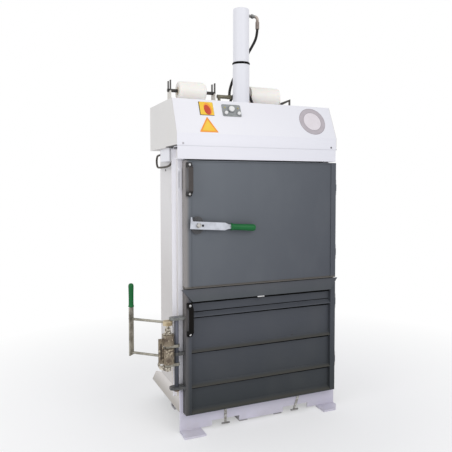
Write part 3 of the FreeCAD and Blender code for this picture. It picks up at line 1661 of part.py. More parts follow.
# ---------------------------------------------------------------- strap rolls
def make_rolls():
    rolls = (
        ("left", "-roll_left_low", "-roll_left_high", "roll_left_round"),
        ("right", "roll_right_low", "roll_right_high", "roll_round"),
    )
    for word, low, high, rounding in rolls:
        bore = "(spindle_radius + spindle_gap)"
        length = f"({high} - ({low}))"
        outline = [
            (bore, "0"),
            ("core_radius", "0"),
            ("core_radius", "core_dish"),
            ("core_radius + core_wall", "core_dish"),
            ("core_radius + core_wall", "0"),
            (f"roll_radius - {rounding}", "0"),
            (f"roll_radius - {rounding} * 0.3", f"{rounding} * 0.3"),
            ("roll_radius", rounding),
            ("roll_radius", f"{length} - {rounding}"),
            (f"roll_radius - {rounding} * 0.3", f"{length} - {rounding} * 0.3"),
            (f"roll_radius - {rounding}", length),
            ("core_radius + core_wall", length),
            ("core_radius + core_wall", f"{length} - core_dish"),
            ("core_radius", f"{length} - core_dish"),
            ("core_radius", length),
            (bore, length),
        ]
        roll = lathe(f"roll_{word}", outline, x=low, y="roll_y", z="roll_z", along="x")
        node(f"strap_roll_{word}", roll)


def make_roll_stands():
    """Upright plates with an open slot, in which the spindles rest, and a strap guide at the right."""
    stands = []
    for index, x in enumerate(("-fork_one", "-fork_two", "fork_three")):
        stands.append(stand_plate(f"fork_{index}", x, "fork_top", "fork_slot / 2"))
    lip_top = "(roll_z - spindle_radius - spindle_gap + bracket_lip)"
    stands.append(stand_plate("bracket", "bracket_x", lip_top, "spindle_radius * 0.7"))
    low = "(bracket_x + guide_gap)"
    high = f"({low} + guide_wide)"
    outline = [
        (low, "hood_top"),
        (high, "hood_top"),
        (high, "hood_top + guide_high"),
        (low, "hood_top + guide_low"),
    ]
    window = [
        (f"{low} + guide_border", "hood_top + guide_border"),
        (f"{high} - guide_border", "hood_top + guide_border"),
        (f"{high} - guide_border", "hood_top + guide_high - 1.4 * guide_border"),
        (f"{low} + guide_border", "hood_top + guide_low - 1.1 * guide_border"),
    ]
    stands.append(profile("strap_guide", "XZ_Plane", [outline, window], "guide_sheet", y="roll_y"))
    node("roll_stands", group("stands", stands))
    over = "spindle_over"
    left_low = f"(0 - fork_one - fork_sheet / 2 - {over})"
    left_high = f"(fork_sheet / 2 + {over} - fork_two)"
    length = f"{left_high} - {left_low}"
    left = rod("spindle_left_bar", "spindle_radius", length, left_low, "roll_y", "roll_z", "x")
    right_low = f"(fork_three - fork_sheet / 2 - {over})"
    length = f"spindle_right_end - {right_low}"
    right = rod("spindle_right_bar", "spindle_radius", length, right_low, "roll_y", "roll_z", "x")
    node("roll_spindles", group("spindles", [left, right]))


def stand_plate(name, x, front_top, front_slot):
    """An upright plate whose rear prong is tall. The front prong's height and inner face are given."""
    half = "(fork_depth / 2)"
    slot = "(fork_slot / 2)"
    seat = "(roll_z - spindle_radius - spindle_gap)"
    front = f"({front_slot})"
    outline = [
        (f"roll_y - {half}", "hood_top"),
        (f"roll_y + {half}", "hood_top"),
        (f"roll_y + {half}", "fork_top"),
        (f"roll_y + {slot}", "fork_top"),
        (f"roll_y + {slot}", f"{seat} + spindle_radius"),
        ("roll_y + spindle_radius * 0.6", seat),
        ("roll_y - spindle_radius * 0.6", seat),
    ]
    if front_top == "fork_top":
        outline.append((f"roll_y - {front}", f"{seat} + spindle_radius"))
    outline.append((f"roll_y - {front}", front_top))
    outline.append((f"roll_y - {half}", front_top))
    return profile(name, "YZ_Plane", [outline], "fork_sheet", x=f"{x} - fork_sheet / 2")


# ---------------------------------------------------------------- drive inside the hood
def make_drive():
    tank_y = ("-tank_depth / 2", "tank_depth / 2")
    node("oil_tank", block("tank", ("tank_left", "tank_right"), tank_y, ("seam", "seam + tank_tall")))
    length = "motor_long"
    motor = lathe("motor_body", [
        ("0", "0"),
        ("motor_radius", "0"),
        ("motor_radius", f"{length} * 0.8"),
        ("motor_radius * 0.8", length),
        ("0", length),
    ], x="-motor_x", z="seam + pump_long")
    pump = rod("pump_body", "pump_radius", "pump_long", "-motor_x", "0", "seam")
    valve = block(
        "valve",
        ("pump_radius + valve_gap - motor_x", "pump_radius + valve_gap + valve_size - motor_x"),
        ("-valve_size / 2", "valve_size / 2"),
        ("seam", "seam + valve_size"),
    )
    node("pump_unit", group("pump_parts", [motor, pump, valve]))


def make_switch():
    face = "(0 - chamber_front)"
    front = f"({face} - switch_depth)"
    x = ("-switch_left", "-switch_right")
    pieces = [
        block("switch", x, (front, face), ("switch_low", "switch_high")),
        block("switch_end_a", x, (front, face), ("switch_end_low", "switch_low")),
        block("switch_end_b", x, (front, face), ("switch_high", "switch_end_high")),
    ]
    node("door_switch", group("switch_pieces", pieces))
    x = (f"{WALL[-1]} - blank_sheet", WALL[-1])
    plate = block("blank", x, ("blank_front", "blank_rear"), ("blank_low", "blank_high"))
    node("blank_plate", plate)


# ---------------------------------------------------------------- latch of the lower door
def make_latch_rod():
    x = "(0 - rod_x)"
    y = "(0 - rod_y)"
    edge = "(0 - door_width / 2)"
    low = "(clasp_low - rod_nut_tall)"
    bar = rod("latch_bar", "latch_rod", f"clasp_top - {low}", x, y, low)
    clasps = []
    for word, foot in (("top", "(clasp_top - clasp_sheet)"), ("low", "clasp_low")):
        far = f"({x} - clasp_reach)"
        near = f"({far} + clasp_half * 0.6)"
        outline = [
            (edge, f"{y} + clasp_half"),
            (near, f"{y} + clasp_half"),
            (far, f"{y} + clasp_half * 0.5"),
            (far, f"{y} - clasp_half * 0.5"),
            (near, f"{y} - clasp_half"),
            (edge, f"{y} - clasp_half"),
        ]
        holes = [(x, y, "latch_rod")]
        clasps.append(profile(f"clasp_{word}", "XY_Plane", [outline], "clasp_sheet", z=foot, circles=holes))
    eye = rod("mid_lug_eye", "mid_lug_radius", "mid_lug_high - mid_lug_low", x, y, "mid_lug_low")
    arm = block(
        "mid_lug_arm",
        (x, edge),
        (f"{y} - mid_lug_radius * 0.6", f"{y} + mid_lug_radius * 0.6"),
        ("mid_lug_low", "mid_lug_high"),
    )
    bore = rod("mid_lug_bore", "latch_rod", "mid_lug_high - mid_lug_low", x, y, "mid_lug_low")
    clasps.append(cut("mid_lug", fuse("mid_lug_body", eye, arm), bore))
    node("rod_clasps", group("clasps", clasps))
    nut = hexagon("rod_hex", "rod_nut_flats", "rod_nut_tall", x, y, low)
    hole = rod("rod_hex_bore", "latch_rod", "rod_nut_tall", x, y, low)
    node("latch_rod", group("bar_and_nut", [bar, cut("rod_nut", nut, hole)]))


def link_plate(name, low, tall):
    """A plate that turns on the door's rod and holds the latch spindle."""
    outline = [
        ("0 - rod_x", "0 - rod_y - link_radius"),
        ("0 - rod_x", "link_radius - rod_y"),
        ("0 - spindle_x", "link_radius - spindle_y"),
        ("0 - spindle_x", "0 - spindle_y - link_radius"),
    ]
    web = profile(name + "_web", "XY_Plane", [outline], tall, z=low)
    rod_eye = rod(name + "_rod_eye", "link_radius", tall, "-rod_x", "-rod_y", low)
    pin_eye = rod(name + "_pin_eye", "link_radius", tall, "-spindle_x", "-spindle_y", low)
    rod_bore = rod(name + "_rod_bore", "latch_rod + running_gap", tall, "-rod_x", "-rod_y", low)
    pin_bore = rod(name + "_pin_bore", "latch_spindle", tall, "-spindle_x", "-spindle_y", low)
    body = fuse(name + "_body", web, rod_eye, pin_eye)
    return cut(name, body, fuse(name + "_bores", rod_bore, pin_bore))


LOCK_NUT_TURN = 20


def make_latch_yoke():
    """Two link plates and the padlock eye on one spindle, which turn about the door's rod."""
    links = [
        link_plate("link_lower", "link_low", "link_tall"),
        link_plate("link_upper", "link_high", "link_tall"),
    ]
    low = "(eye_arm_low - spindle_end)"
    pin = rod("latch_pin", "latch_spindle", f"spindle_top - {low}", "-spindle_x", "-spindle_y", low)

    rear = "(eye_thick - eye_front)"
    outline = [
        ("eye_arm_cut - spindle_x", "0 - spindle_y - eye_arm_half"),
        ("eye_arm_half - spindle_x", "0 - spindle_y"),
        ("eye_arm_root - eye_x", rear),
        ("0 - eye_x - eye_arm_half", rear),
        ("0 - eye_x - eye_arm_half", "-eye_front"),
        ("0 - spindle_x - eye_arm_half", "0 - spindle_y - eye_arm_cut"),
    ]
    arm = profile("eye_arm", "XY_Plane", [outline], "eye_arm_tall", z="eye_arm_low")
    boss = rod("eye_arm_boss", "link_radius", "eye_arm_tall", "-spindle_x", "-spindle_y", "eye_arm_low")
    disc = rod("eye_disc", "eye_radius", "eye_thick", "-eye_x", "-eye_front", "eye_z", "y")
    hole = rod("eye_hole_bore", "eye_hole", "eye_thick", "-eye_x", "-eye_front", "eye_z", "y")
    bore = rod("eye_arm_bore", "latch_spindle", "eye_arm_tall", "-spindle_x", "-spindle_y", "eye_arm_low")
    body = fuse("eye_body", arm, boss, disc)
    links.append(cut("eye", body, fuse("eye_bores", hole, bore)))
    node("latch_yoke", group("yoke", links))

    x = "-spindle_x"
    y = "-spindle_y"
    washer = rod("spindle_washer", "washer_radius", "washer_tall", x, y, "nut_low")
    washer_bore = rod("spindle_washer_bore", "latch_spindle", "washer_tall", x, y, "nut_low")
    first = "nut_low + washer_tall"
    nut = hexagon("spindle_hex", "spindle_nut_flats", "spindle_nut_tall", x, y, first)
    nut_bore = rod("spindle_hex_bore", "latch_spindle", "spindle_nut_tall", x, y, first)
    second = f"{first} + spindle_nut_tall"
    thin = "spindle_nut_tall * 0.7"
    lock = hexagon("lock_hex", "spindle_nut_flats", thin, x, y, second)
    lock.Placement.Rotation = FreeCAD.Rotation(Vector(0, 0, 1), LOCK_NUT_TURN)
    lock_bore = rod("lock_hex_bore", "latch_spindle", thin, x, y, second)
    pieces = [
        cut("washer", washer, washer_bore),
        cut("spindle_nut", nut, nut_bore),
        cut("lock_nut", lock, lock_bore),
    ]
    node("latch_spindle", group("pin_and_nuts", [pin, *pieces]))


def make_latch_lever():
    x = "(0 - spindle_x)"
    y = "(0 - spindle_y)"
    bore_radius = "(latch_spindle + running_gap)"
    flat_x = (f"{x} - barrel_size - cut_over", f"{x} - flat_cut")
    flat_y = (f"{y} - barrel_size", f"{y} + barrel_size")

    def sleeve(name, low, high, extra=()):
        outer = rod(name + "_outer", "barrel_size", f"{high} - {low}", x, y, low)
        body = cut(name + "_flatted", outer, block(name + "_flat", flat_x, flat_y, (low, high)))
        if extra:
            body = fuse(name + "_whole", body, *extra)
        bore = rod(name + "_bore", bore_radius, f"{high} - {low}", x, y, low)
        return cut(name, body, bore)

    claw = [
        (f"{x} - claw_far", f"{y} + claw_root"),
        (f"{x} - claw_near", f"{y} + claw_root"),
        (f"{x} - claw_near", f"{y} + claw_long - claw_nose"),
        (f"{x} - claw_tip", f"{y} + claw_long - claw_nose"),
        (f"{x} - claw_tip", f"{y} + claw_long"),
        (f"{x} - claw_far", f"{y} + claw_long"),
    ]
    hook = profile("claw_arm", "XY_Plane", [claw], "claw_tall", z="claw_low")
    sleeves = [
        sleeve("claw_sleeve", "barrel_low", "barrel_split", (hook,)),
        sleeve("upper_sleeve", "barrel_upper", "barrel_high"),
    ]

    slot_mid = "((strap_low + strap_high) / 2)"
    near = f"({x} - flat_cut)"
    far = f"({x} - strap_reach)"
    centre = f"(({near} + {far}) / 2)"
    outline = [(far, "strap_low"), (near, "strap_low"), (near, "strap_high"), (far, "strap_high")]
    window = [
        (f"{centre} - strap_slot / 2", f"{slot_mid} - strap_slot_long / 2"),
        (f"{centre} + strap_slot / 2", f"{slot_mid} - strap_slot_long / 2"),
        (f"{centre} + strap_slot / 2", f"{slot_mid} + strap_slot_long / 2"),
        (f"{centre} - strap_slot / 2", f"{slot_mid} + strap_slot_long / 2"),
    ]
    strap = profile("slotted_bar", "XZ_Plane", [outline, window], "strap_thick", y=f"{y} + strap_thick / 2")
    node("slotted_strap", strap)

    head = rod("arm_boss_outer", "boss_radius", "boss_high - boss_low", x, y, "boss_low")
    socket = rod("arm_boss_bore", bore_radius, "spindle_seat + spindle_room", x, y, "boss_low")
    sleeves.append(cut("arm_boss", head, socket))
    node("latch_barrel", group("sleeves", sleeves))

    arms = []
    for word, level, start in (("upper", "arm_upper", "boss_radius"), ("lower", "arm_lower", "barrel_size")):
        length = f"arm_reach + side_bar_thick / 2 + arm_end_length - {start}"
        arm = doc.addObject("Part::Cylinder", f"arm_{word}")
        bind(arm, "Radius", "arm_radius")
        bind(arm, "Height", length)
        arms.append(turned_out(arm, start, "0", level, lying=True))

    bar = doc.addObject("Part::Box", "side_bar_blank")
    bind(bar, "Length", "side_bar_thick")
    bind(bar, "Width", "side_bar_wide")
    bind(bar, "Height", "side_bar_high - side_bar_low")
    turned_out(bar, "arm_reach - side_bar_thick / 2", "-side_bar_wide / 2", "side_bar_low")
    holes = []
    for word, level in (("upper", "arm_upper"), ("lower", "arm_lower")):
        hole = doc.addObject("Part::Cylinder", f"arm_hole_{word}")
        bind(hole, "Radius", "arm_radius")
        bind(hole, "Height", "side_bar_thick + 2 * cut_over")
        start = "arm_reach - side_bar_thick / 2 - cut_over"
        holes.append(turned_out(hole, start, "0", level, lying=True))
    side_bar = cut("side_bar", bar, fuse("arm_holes", *holes))
    node("lever_frame", group("arms_and_bar", [*arms, side_bar]))

    radius = "side_grip_radius"
    grip = [
        ("0", "0"),
        (radius, "0"),
        (radius, f"side_grip_long - {radius} * 0.75"),
        (f"{radius} * 0.75", f"side_grip_long - {radius} * 0.25"),
        (f"{radius} * 0.3", "side_grip_long"),
        ("0", "side_grip_long"),
    ]
    handle = lathe("side_grip", grip)
    turned_out(handle, "arm_reach", "0", "side_bar_high")
    node("side_grip", handle)

    flange = f"({WALL[-1]} - post_inner - post_outer)"
    step = "(post_step - chamber_front)"
    plate_y = (step, f"{step} + latch_keeper_sheet")
    return block("keeper_plate", (x, flange), plate_y, ("keeper_low", "keeper_high"))


def turned_out(thing, along, across, z, lying=False):
    """Places a piece by its distances along and across the direction in which the lever points."""
    angle = "(arm_angle * 1deg)"
    rotation = FreeCAD.Rotation(Vector(0, 0, 1), number("arm_angle"))
    if lying:
        rotation = rotation.multiply(TURNS["x"])
    thing.Placement.Rotation = rotation
    place(
        thing,
        f"0 - spindle_x + ({along}) * cos({angle}) - ({across}) * sin({angle})",
        f"0 - spindle_y + ({along}) * sin({angle}) + ({across}) * cos({angle})",
        z,
    )
    return thing


# ---------------------------------------------------------------- build and write
def write_parts():
    doc.recompute()
    for thing in doc.Objects:
        if "Invalid" in thing.State or "Error" in thing.State:
            raise RuntimeError(f"{thing.Name} failed: {thing.State}")
    for name, thing in NODES.items():
        shape = thing.Shape
        if shape.isNull() or not shape.isValid() or not shape.Solids:
            raise RuntimeError(f"{name} has no valid solid")
    for name, thing in NODES.items():
        thing.Shape.exportStep(f"parts/{name}.step")
        print(f"{name}: {len(thing.Shape.Solids)} solids, {thing.Shape.Volume / 1000:.1f} cm3")
    print(len(NODES), "nodes")


make_base()
make_skirts()
make_hooks()
make_chamber()
make_hood()
make_signs()
make_controls()
make_upper_door()
make_lower_door()
make_hinges()
keepers = [make_upper_lever()]
make_cylinder()
make_platen()
make_ports()
make_cable()
make_rolls()
make_roll_stands()
make_drive()
make_switch()
make_latch_rod()
make_latch_yoke()
keepers.append(make_latch_lever())
node("latch_keepers", group("keepers", keepers))
write_parts()
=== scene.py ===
# %% [markdown]
# # Dressing a recycling baler
# The packed model is a fixed frame: every sheet, pin and lever already sits where the real machine has it.
# This lesson gives that frame the look of the real one. The folds get their small radii, the turned pieces
# their true curves, the hoses their hang, and each surface a finish built from nodes.

# %% Load the packed model
import json
import math

import bmesh
import bpy
from mathutils import Matrix, Vector

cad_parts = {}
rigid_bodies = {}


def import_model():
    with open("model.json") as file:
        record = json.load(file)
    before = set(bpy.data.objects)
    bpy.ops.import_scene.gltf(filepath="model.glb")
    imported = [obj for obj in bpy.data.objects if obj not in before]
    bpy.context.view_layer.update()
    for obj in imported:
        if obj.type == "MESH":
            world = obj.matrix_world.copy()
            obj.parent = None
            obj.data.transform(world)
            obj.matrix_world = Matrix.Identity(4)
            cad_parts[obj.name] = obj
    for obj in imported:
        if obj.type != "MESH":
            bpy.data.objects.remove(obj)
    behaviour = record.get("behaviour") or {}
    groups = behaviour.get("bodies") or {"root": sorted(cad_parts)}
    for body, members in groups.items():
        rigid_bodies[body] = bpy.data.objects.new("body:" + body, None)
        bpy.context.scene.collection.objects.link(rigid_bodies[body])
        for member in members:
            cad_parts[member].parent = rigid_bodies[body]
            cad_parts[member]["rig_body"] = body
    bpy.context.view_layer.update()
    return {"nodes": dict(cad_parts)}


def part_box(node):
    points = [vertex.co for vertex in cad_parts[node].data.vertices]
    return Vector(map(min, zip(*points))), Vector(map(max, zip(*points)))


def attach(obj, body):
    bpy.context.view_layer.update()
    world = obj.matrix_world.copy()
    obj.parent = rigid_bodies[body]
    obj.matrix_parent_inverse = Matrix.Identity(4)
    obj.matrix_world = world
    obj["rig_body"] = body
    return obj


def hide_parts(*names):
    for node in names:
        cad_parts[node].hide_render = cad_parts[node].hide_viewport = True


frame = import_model()

# %% [markdown]
# The machine was measured in millimetres, and Blender works in metres. One named scale keeps the sizes
# readable. Many places are read from the frame itself, so that the details follow the model.

# %% Sizes that many pieces share
MM = 0.001
X, Y, Z = range(3)


def span(node, axis):
    """The lowest and highest place of a node along one axis, in millimetres."""
    low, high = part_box(node)
    return low[axis] / MM, high[axis] / MM


def middle_of(node, axis):
    return sum(span(node, axis)) / 2


def width_of(node, axis):
    low, high = span(node, axis)
    return high - low


DOOR_FACE = span("upper_door_frame", Y)[0]
HOOD_SEAM, HOOD_TOP = span("hood_side_right", Z)
HOOD_FRONT = span("hood_front_cover", Y)[0]
print("hood top at", round(HOOD_TOP), "mm, seam at", round(HOOD_SEAM), "mm")

# %% [markdown]
# ## Finishes
# A finish here is a Principled shader with a few layers in front of it: cloudy tone, tones that change along
# the machine, dirt that gathers low down, and paint worn thin on the edges that hands and bales rub. The
# layers are the same for many finishes, so a small class adds them in plain words. Every pattern reads Object
# coordinates, so it stays on the piece when a door swings.

# %% A class that builds a finish
def shade(colour):
    """A colour written in 0 to 255 steps, as the shader wants it."""
    parts = [part / 255 for part in colour]
    curve = [part / 12.92 if part <= 0.04045 else ((part + 0.055) / 1.055) ** 2.4 for part in parts]
    return (*curve, 1.0)


class Finish:
    """A material whose layers are added one after another."""

    def __init__(self, name, colour, roughness, metallic=0.0):
        self.material = bpy.data.materials.new(name)
        self.material.use_nodes = True
        self.material.diffuse_color = shade(colour)
        self.tree = self.material.node_tree
        self.shader = self.tree.nodes["Principled BSDF"]
        self.set("Base Color", shade(colour)).set("Roughness", roughness).set("Metallic", metallic)
        self.place = self.add("ShaderNodeTexCoord").outputs["Object"]
        self.look = shade(colour)

    def add(self, kind, inputs=None, **settings):
        """A node with its settings, and with each input linked or given its value."""
        node = self.tree.nodes.new(kind)
        for name, value in settings.items():
            setattr(node, name, value)
        for name, value in (inputs or {}).items():
            if isinstance(value, bpy.types.NodeSocket):
                self.tree.links.new(value, node.inputs[name])
            else:
                node.inputs[name].default_value = value
        return node

    def set(self, name, value):
        self.shader.inputs[name].default_value = value
        return self

    def spots(self, scale, detail=3.0, stretch=(1, 1, 1), distortion=0.0):
        """Noise from 0 to 1, finer as the scale grows and drawn out by the stretch."""
        mapping = self.add("ShaderNodeMapping", {"Vector": self.place, "Scale": stretch})
        sizes = {"Vector": mapping.outputs[0], "Scale": scale, "Detail": detail, "Distortion": distortion}
        return self.add("ShaderNodeTexNoise", sizes).outputs["Fac"]

    def between(self, value, low, high, start=0.0, end=1.0):
        """Rises from start to end while the value goes from low to high."""
        limits = {"Value": value, "From Min": low, "From Max": high, "To Min": start, "To Max": end}
        return self.add("ShaderNodeMapRange", limits, clamp=True).outputs[0]

    def times(self, first, second):
        return self.add("ShaderNodeMath", {0: first, 1: second}, operation="MULTIPLY").outputs[0]

    def across(self, axis, places, amount=1.0, least=0.0):
        """Grows from the least to the full amount between two places along an axis, in metres."""
        along = self.add("ShaderNodeSeparateXYZ", {0: self.place}).outputs[axis]
        return self.between(along, *places, least, amount)

    def tint(self, amount, colour):
        """Lays a colour over the look where the amount is high."""
        layers = {"Factor": amount, "A": self.look, "B": shade(colour)}
        self.look = self.add("ShaderNodeMix", layers, data_type="RGBA").outputs["Result"]
        self.tree.links.new(self.look, self.shader.inputs["Base Color"])
        return self

    def fade(self, axis, places, colour, amount=1.0):
        """Turns towards a colour between two places along an axis."""
        return self.tint(self.across(axis, places, amount), colour)

    def patch(self, colour, first, second):
        """Tints where two fades overlap. Each is an axis, a pair of places and, if need be, an amount."""
        return self.tint(self.times(self.across(*first), self.across(*second)), colour)

    def mottle(self, colour, scale, limits, amount, detail=5.0, stretch=(1, 1, 1)):
        """A second tone where the noise passes its limits."""
        return self.tint(self.between(self.spots(scale, detail, stretch), *limits, 0.0, amount), colour)

    def clouds(self, colour, scale, amount):
        """A second tone in soft patches."""
        return self.mottle(colour, scale, (0.4, 0.75), amount, 3.0)

    def dirt(self, colour, top, amount):
        """Dirt that thins out from the floor up to a height in metres."""
        low = self.across("Z", (0.0, top), 0.0, amount)
        patchy = self.between(self.spots(9.0, 5.0), 0.35, 0.7)
        return self.tint(self.times(low, patchy), colour)

    def worn_edges(self, colour, amount=0.5, width=0.003):
        """Paint thinned along edges, found by comparing the normal with a rounded one."""
        rounded = self.add("ShaderNodeBevel", {"Radius": width}, samples=4).outputs[0]
        normal = self.add("ShaderNodeNewGeometry").outputs["Normal"]
        turn = self.add("ShaderNodeVectorMath", {0: rounded, 1: normal}, operation="DOT_PRODUCT")
        edge = self.between(turn.outputs["Value"], 0.99, 0.86, 0.0, amount)
        return self.tint(self.times(edge, self.between(self.spots(40.0, 5.0), 0.35, 0.6, 0.3, 1.0)), colour)

    def gloss(self, amount, low, high):
        """Roughness goes from low to high with the amount."""
        rough = self.between(amount, 0.0, 1.0, low, high)
        self.tree.links.new(rough, self.shader.inputs["Roughness"])
        return self

    def relief(self, height, distance, strength):
        """Bump of a real depth in metres, added to what is there."""
        sizes = {"Height": height, "Distance": distance, "Strength": strength}
        bump = self.add("ShaderNodeBump", sizes)
        normal = self.shader.inputs["Normal"]
        if normal.is_linked:
            self.tree.links.new(normal.links[0].from_socket, bump.inputs["Normal"])
        self.tree.links.new(bump.outputs[0], normal)
        return self

    def grain(self, scale, depth, strength, detail=2.0, stretch=(1, 1, 1)):
        """Noise as relief, for the skin of a coat, a rubber or a casting."""
        return self.relief(self.spots(scale, detail, stretch), depth, strength)


print("a finish can", ", ".join(word for word in vars(Finish) if not word.startswith("_")))

# %% [markdown]
# Powder coat has a fine orange-peel skin and a satin gloss. The skin is a small, dense noise used as bump,
# about a twentieth of a millimetre deep, and a wider one keeps large sheets from looking like glass. The walls
# are cream and dim a little downwards, and the front is a cooler white.

# %% Powder coat for walls and hood
POWDER_ROUGHNESS = 0.42
RUBBED_WHITE = (244, 244, 246)
# places in metres between which a tone changes
WALL_DIMS = (1.3, 0.75)
HOOD_EDGE = (1.587, 1.585)
BEFORE_DECK = (-0.09, -0.11)
HOOD_BEND = (1.6515, 1.6485)
FRONT_DIMS = (-0.3, 0.46)
COVER_EDGE = (1.5845, 1.5835)


def powder_coat(name, colour, shadow):
    finish = Finish(name, colour, POWDER_ROUGHNESS).clouds(shadow, 2.5, 0.45)
    finish.grain(900.0, 0.00005, 0.5)
    finish.grain(6.0, 0.0006, 0.6)
    return finish.gloss(finish.spots(30.0), POWDER_ROUGHNESS - 0.05, POWDER_ROUGHNESS + 0.1)


def front_coat(name):
    """White with painted shade: a little greyer towards the right, away from the lamps, and a touch darker
    below the bend.
    """
    finish = powder_coat(name, (240, 239, 243), (236, 235, 240))
    return finish.fade("Z", HOOD_BEND, (237, 236, 242)).fade("X", FRONT_DIMS, (222, 222, 229), 0.6)


cream = powder_coat("cream_powder_coat", (223, 221, 221), (216, 213, 211))
cream.fade("Z", WALL_DIMS, (203, 199, 197)).dirt((176, 164, 142), 0.45, 0.5)
cream.worn_edges((236, 236, 234))
hood_cream = powder_coat("hood_side_coat", (221, 219, 216), (214, 211, 208))
# A dark band along the lower edge of the hood's side, in front of the deck, is painted shadow under the fold.
hood_cream.patch((30, 28, 25), ("Z", HOOD_EDGE), ("Y", BEFORE_DECK))
white = powder_coat("white_powder_coat", (232, 232, 237), (226, 226, 232)).worn_edges(RUBBED_WHITE)
# The flange coat is the front's white made a little brighter: painted light on the narrow front faces.
flange_white_lit = powder_coat("flange_coat_painted_light", (246, 245, 250), (240, 239, 244))
flange_white_lit.worn_edges((250, 250, 250))
beam_white = front_coat("beam_powder_coat").worn_edges(RUBBED_WHITE)
# The front cover darkens along its lower edge, at the seam with the beam: painted shade.
front_white = front_coat("front_powder_coat").fade("Z", COVER_EDGE, (176, 175, 184), 0.35)
front_white.worn_edges(RUBBED_WHITE)
WALL_COATS = (cream, hood_cream, white, flange_white_lit, beam_white, front_white)
print("wall and hood finishes:", ", ".join(coat.material.name for coat in WALL_COATS))

# %% [markdown]
# The base has the same coat in a faint lilac, and it stands in the dirt of the floor. So the same function
# makes it, and dirt that thins out with the height goes over it.

# %% Powder coat for base, feet and skirts
BASE_DIMS = (0.0, 0.5)
SKIRT_DIMS = (0.175, 0.13)
lilac = powder_coat("base_powder_coat", (216, 213, 227), (208, 204, 218)).dirt((176, 168, 158), 0.1, 0.4)
# Towards the right the base turns a little darker: painted shade, away from the lamps.
lilac.fade("X", BASE_DIMS, (198, 194, 208), 0.6).worn_edges((230, 230, 236), 0.6)
foot_coat = powder_coat("foot_powder_coat", (226, 223, 216), (214, 210, 204))
foot_coat.worn_edges((158, 150, 142), 0.6)
skirt_coat = powder_coat("skirt_powder_coat", (218, 213, 209), (208, 202, 197))
skirt_coat.fade("Z", SKIRT_DIMS, (178, 173, 167)).dirt((170, 156, 136), 0.22, 0.5)
bearer_coat = powder_coat("bearer_powder_coat", (196, 194, 198), (180, 177, 180))
bearer_coat.dirt((140, 132, 120), 0.1, 0.5)
BASE_COATS = (lilac, foot_coat, skirt_coat, bearer_coat)
print("base finishes:", ", ".join(coat.material.name for coat in BASE_COATS))

# %% [markdown]
# Grease from the latch has run down the left wall. A round mask about the latch, broken up by noise that is
# drawn out downwards, puts that stain on the cream coat only there.

# %% A grease stain below the latch
STAIN_AT = (-0.469, -0.19, 0.36)
STAIN_REACH = 0.26


def grease(finish, colour, at, reach, amount):
    shifted = finish.add("ShaderNodeVectorMath", {0: finish.place, 1: at}, operation="SUBTRACT").outputs[0]
    away = finish.add("ShaderNodeVectorMath", {0: shifted}, operation="LENGTH").outputs["Value"]
    near = finish.between(away, reach * 0.3, reach, amount, 0.0)
    runs = finish.between(finish.spots(12.0, 5.0, (1, 1, 0.25), 0.6), 0.32, 0.5)
    return finish.tint(finish.times(near, runs), colour)


grease(cream, (204, 188, 152), STAIN_AT, STAIN_REACH, 0.8)
print("stain", round(STAIN_REACH / MM), "mm about", STAIN_AT)

# %% [markdown]
# The doors are a darker grey and take the knocks. The lower door is darker than the upper one, and both
# darken downwards and, in painted shade, away from the light. The coat is rubbed pale along its edges,
# most on the left stile, where hands reach for the latch. The paint is nearly matt, so its specular level is
# low.

# %% Door paint
DOOR_WIDTH = (-0.42, 0.48)
LEFT_STILE = (-0.456, -0.474)
STILE_BY_LATCH = (0.5, 0.6)


def door_paint(name, colour, low_colour, painted_shade_colour, heights, rubbed, far=0.5):
    finish = Finish(name, colour, 0.5).set("Specular IOR Level", 0.22)
    # The fade along X is painted shade, darker to the right, away from the lamps.
    finish.fade("Z", heights, low_colour).fade("X", DOOR_WIDTH, painted_shade_colour, far)
    finish.mottle(low_colour, 2.2, (0.45, 0.75), 0.25, 4.0)
    finish.mottle(rubbed, 5.0, (0.5, 0.8), 0.12, 6.0, (1, 1, 0.5))
    finish.grain(700.0, 0.00006, 0.6)
    finish.grain(3.0, 0.0007, 0.6)
    return finish.gloss(finish.spots(20.0), 0.42, 0.6)


def left_edge(finish, colour, amount):
    """The outer edge of the left stile is rubbed pale, less so beside the latch."""
    return finish.patch(colour, ("X", LEFT_STILE, amount), ("Z", STILE_BY_LATCH, 1.0, 0.45))


UPPER_DIMS, UPPER_SILL = (1.45, 0.84), (0.822, 0.816)
upper_grey = door_paint("upper_door_coat", (110, 115, 121), (97, 101, 107), (68, 71, 79), UPPER_DIMS,
                        (136, 139, 141), 0.68)
left_edge(upper_grey, (152, 147, 144), 0.85)
upper_grey.fade("Z", UPPER_SILL, (96, 90, 82), 0.8).worn_edges((134, 136, 138), 0.45)
LOWER_DIMS, BOTTOM_RAIL, RAIL_FACE = (0.56, 0.15), (0.152, 0.118), (-0.285, -0.295)
LOWER_TONES = ((78, 81, 88), (54, 58, 61), (50, 54, 58), LOWER_DIMS, (98, 97, 94), 0.32)
lower_grey = door_paint("lower_door_coat", *LOWER_TONES)
left_edge(lower_grey, (118, 112, 108), 0.7)
lower_grey.patch((60, 58, 52), ("Z", BOTTOM_RAIL), ("Y", RAIL_FACE)).worn_edges((104, 103, 100))
print("door paint:", upper_grey.material.name, "and", lower_grey.material.name)

# %% [markdown]
# Small door parts have paint of their own. Brown dust lies on the outer half of each rib, but not on the one
# that the lip shelters. Black paint is painted shadow under the ribs and the lip, and a dark paint that is a
# little glossier is painted shade in the latch's slot.

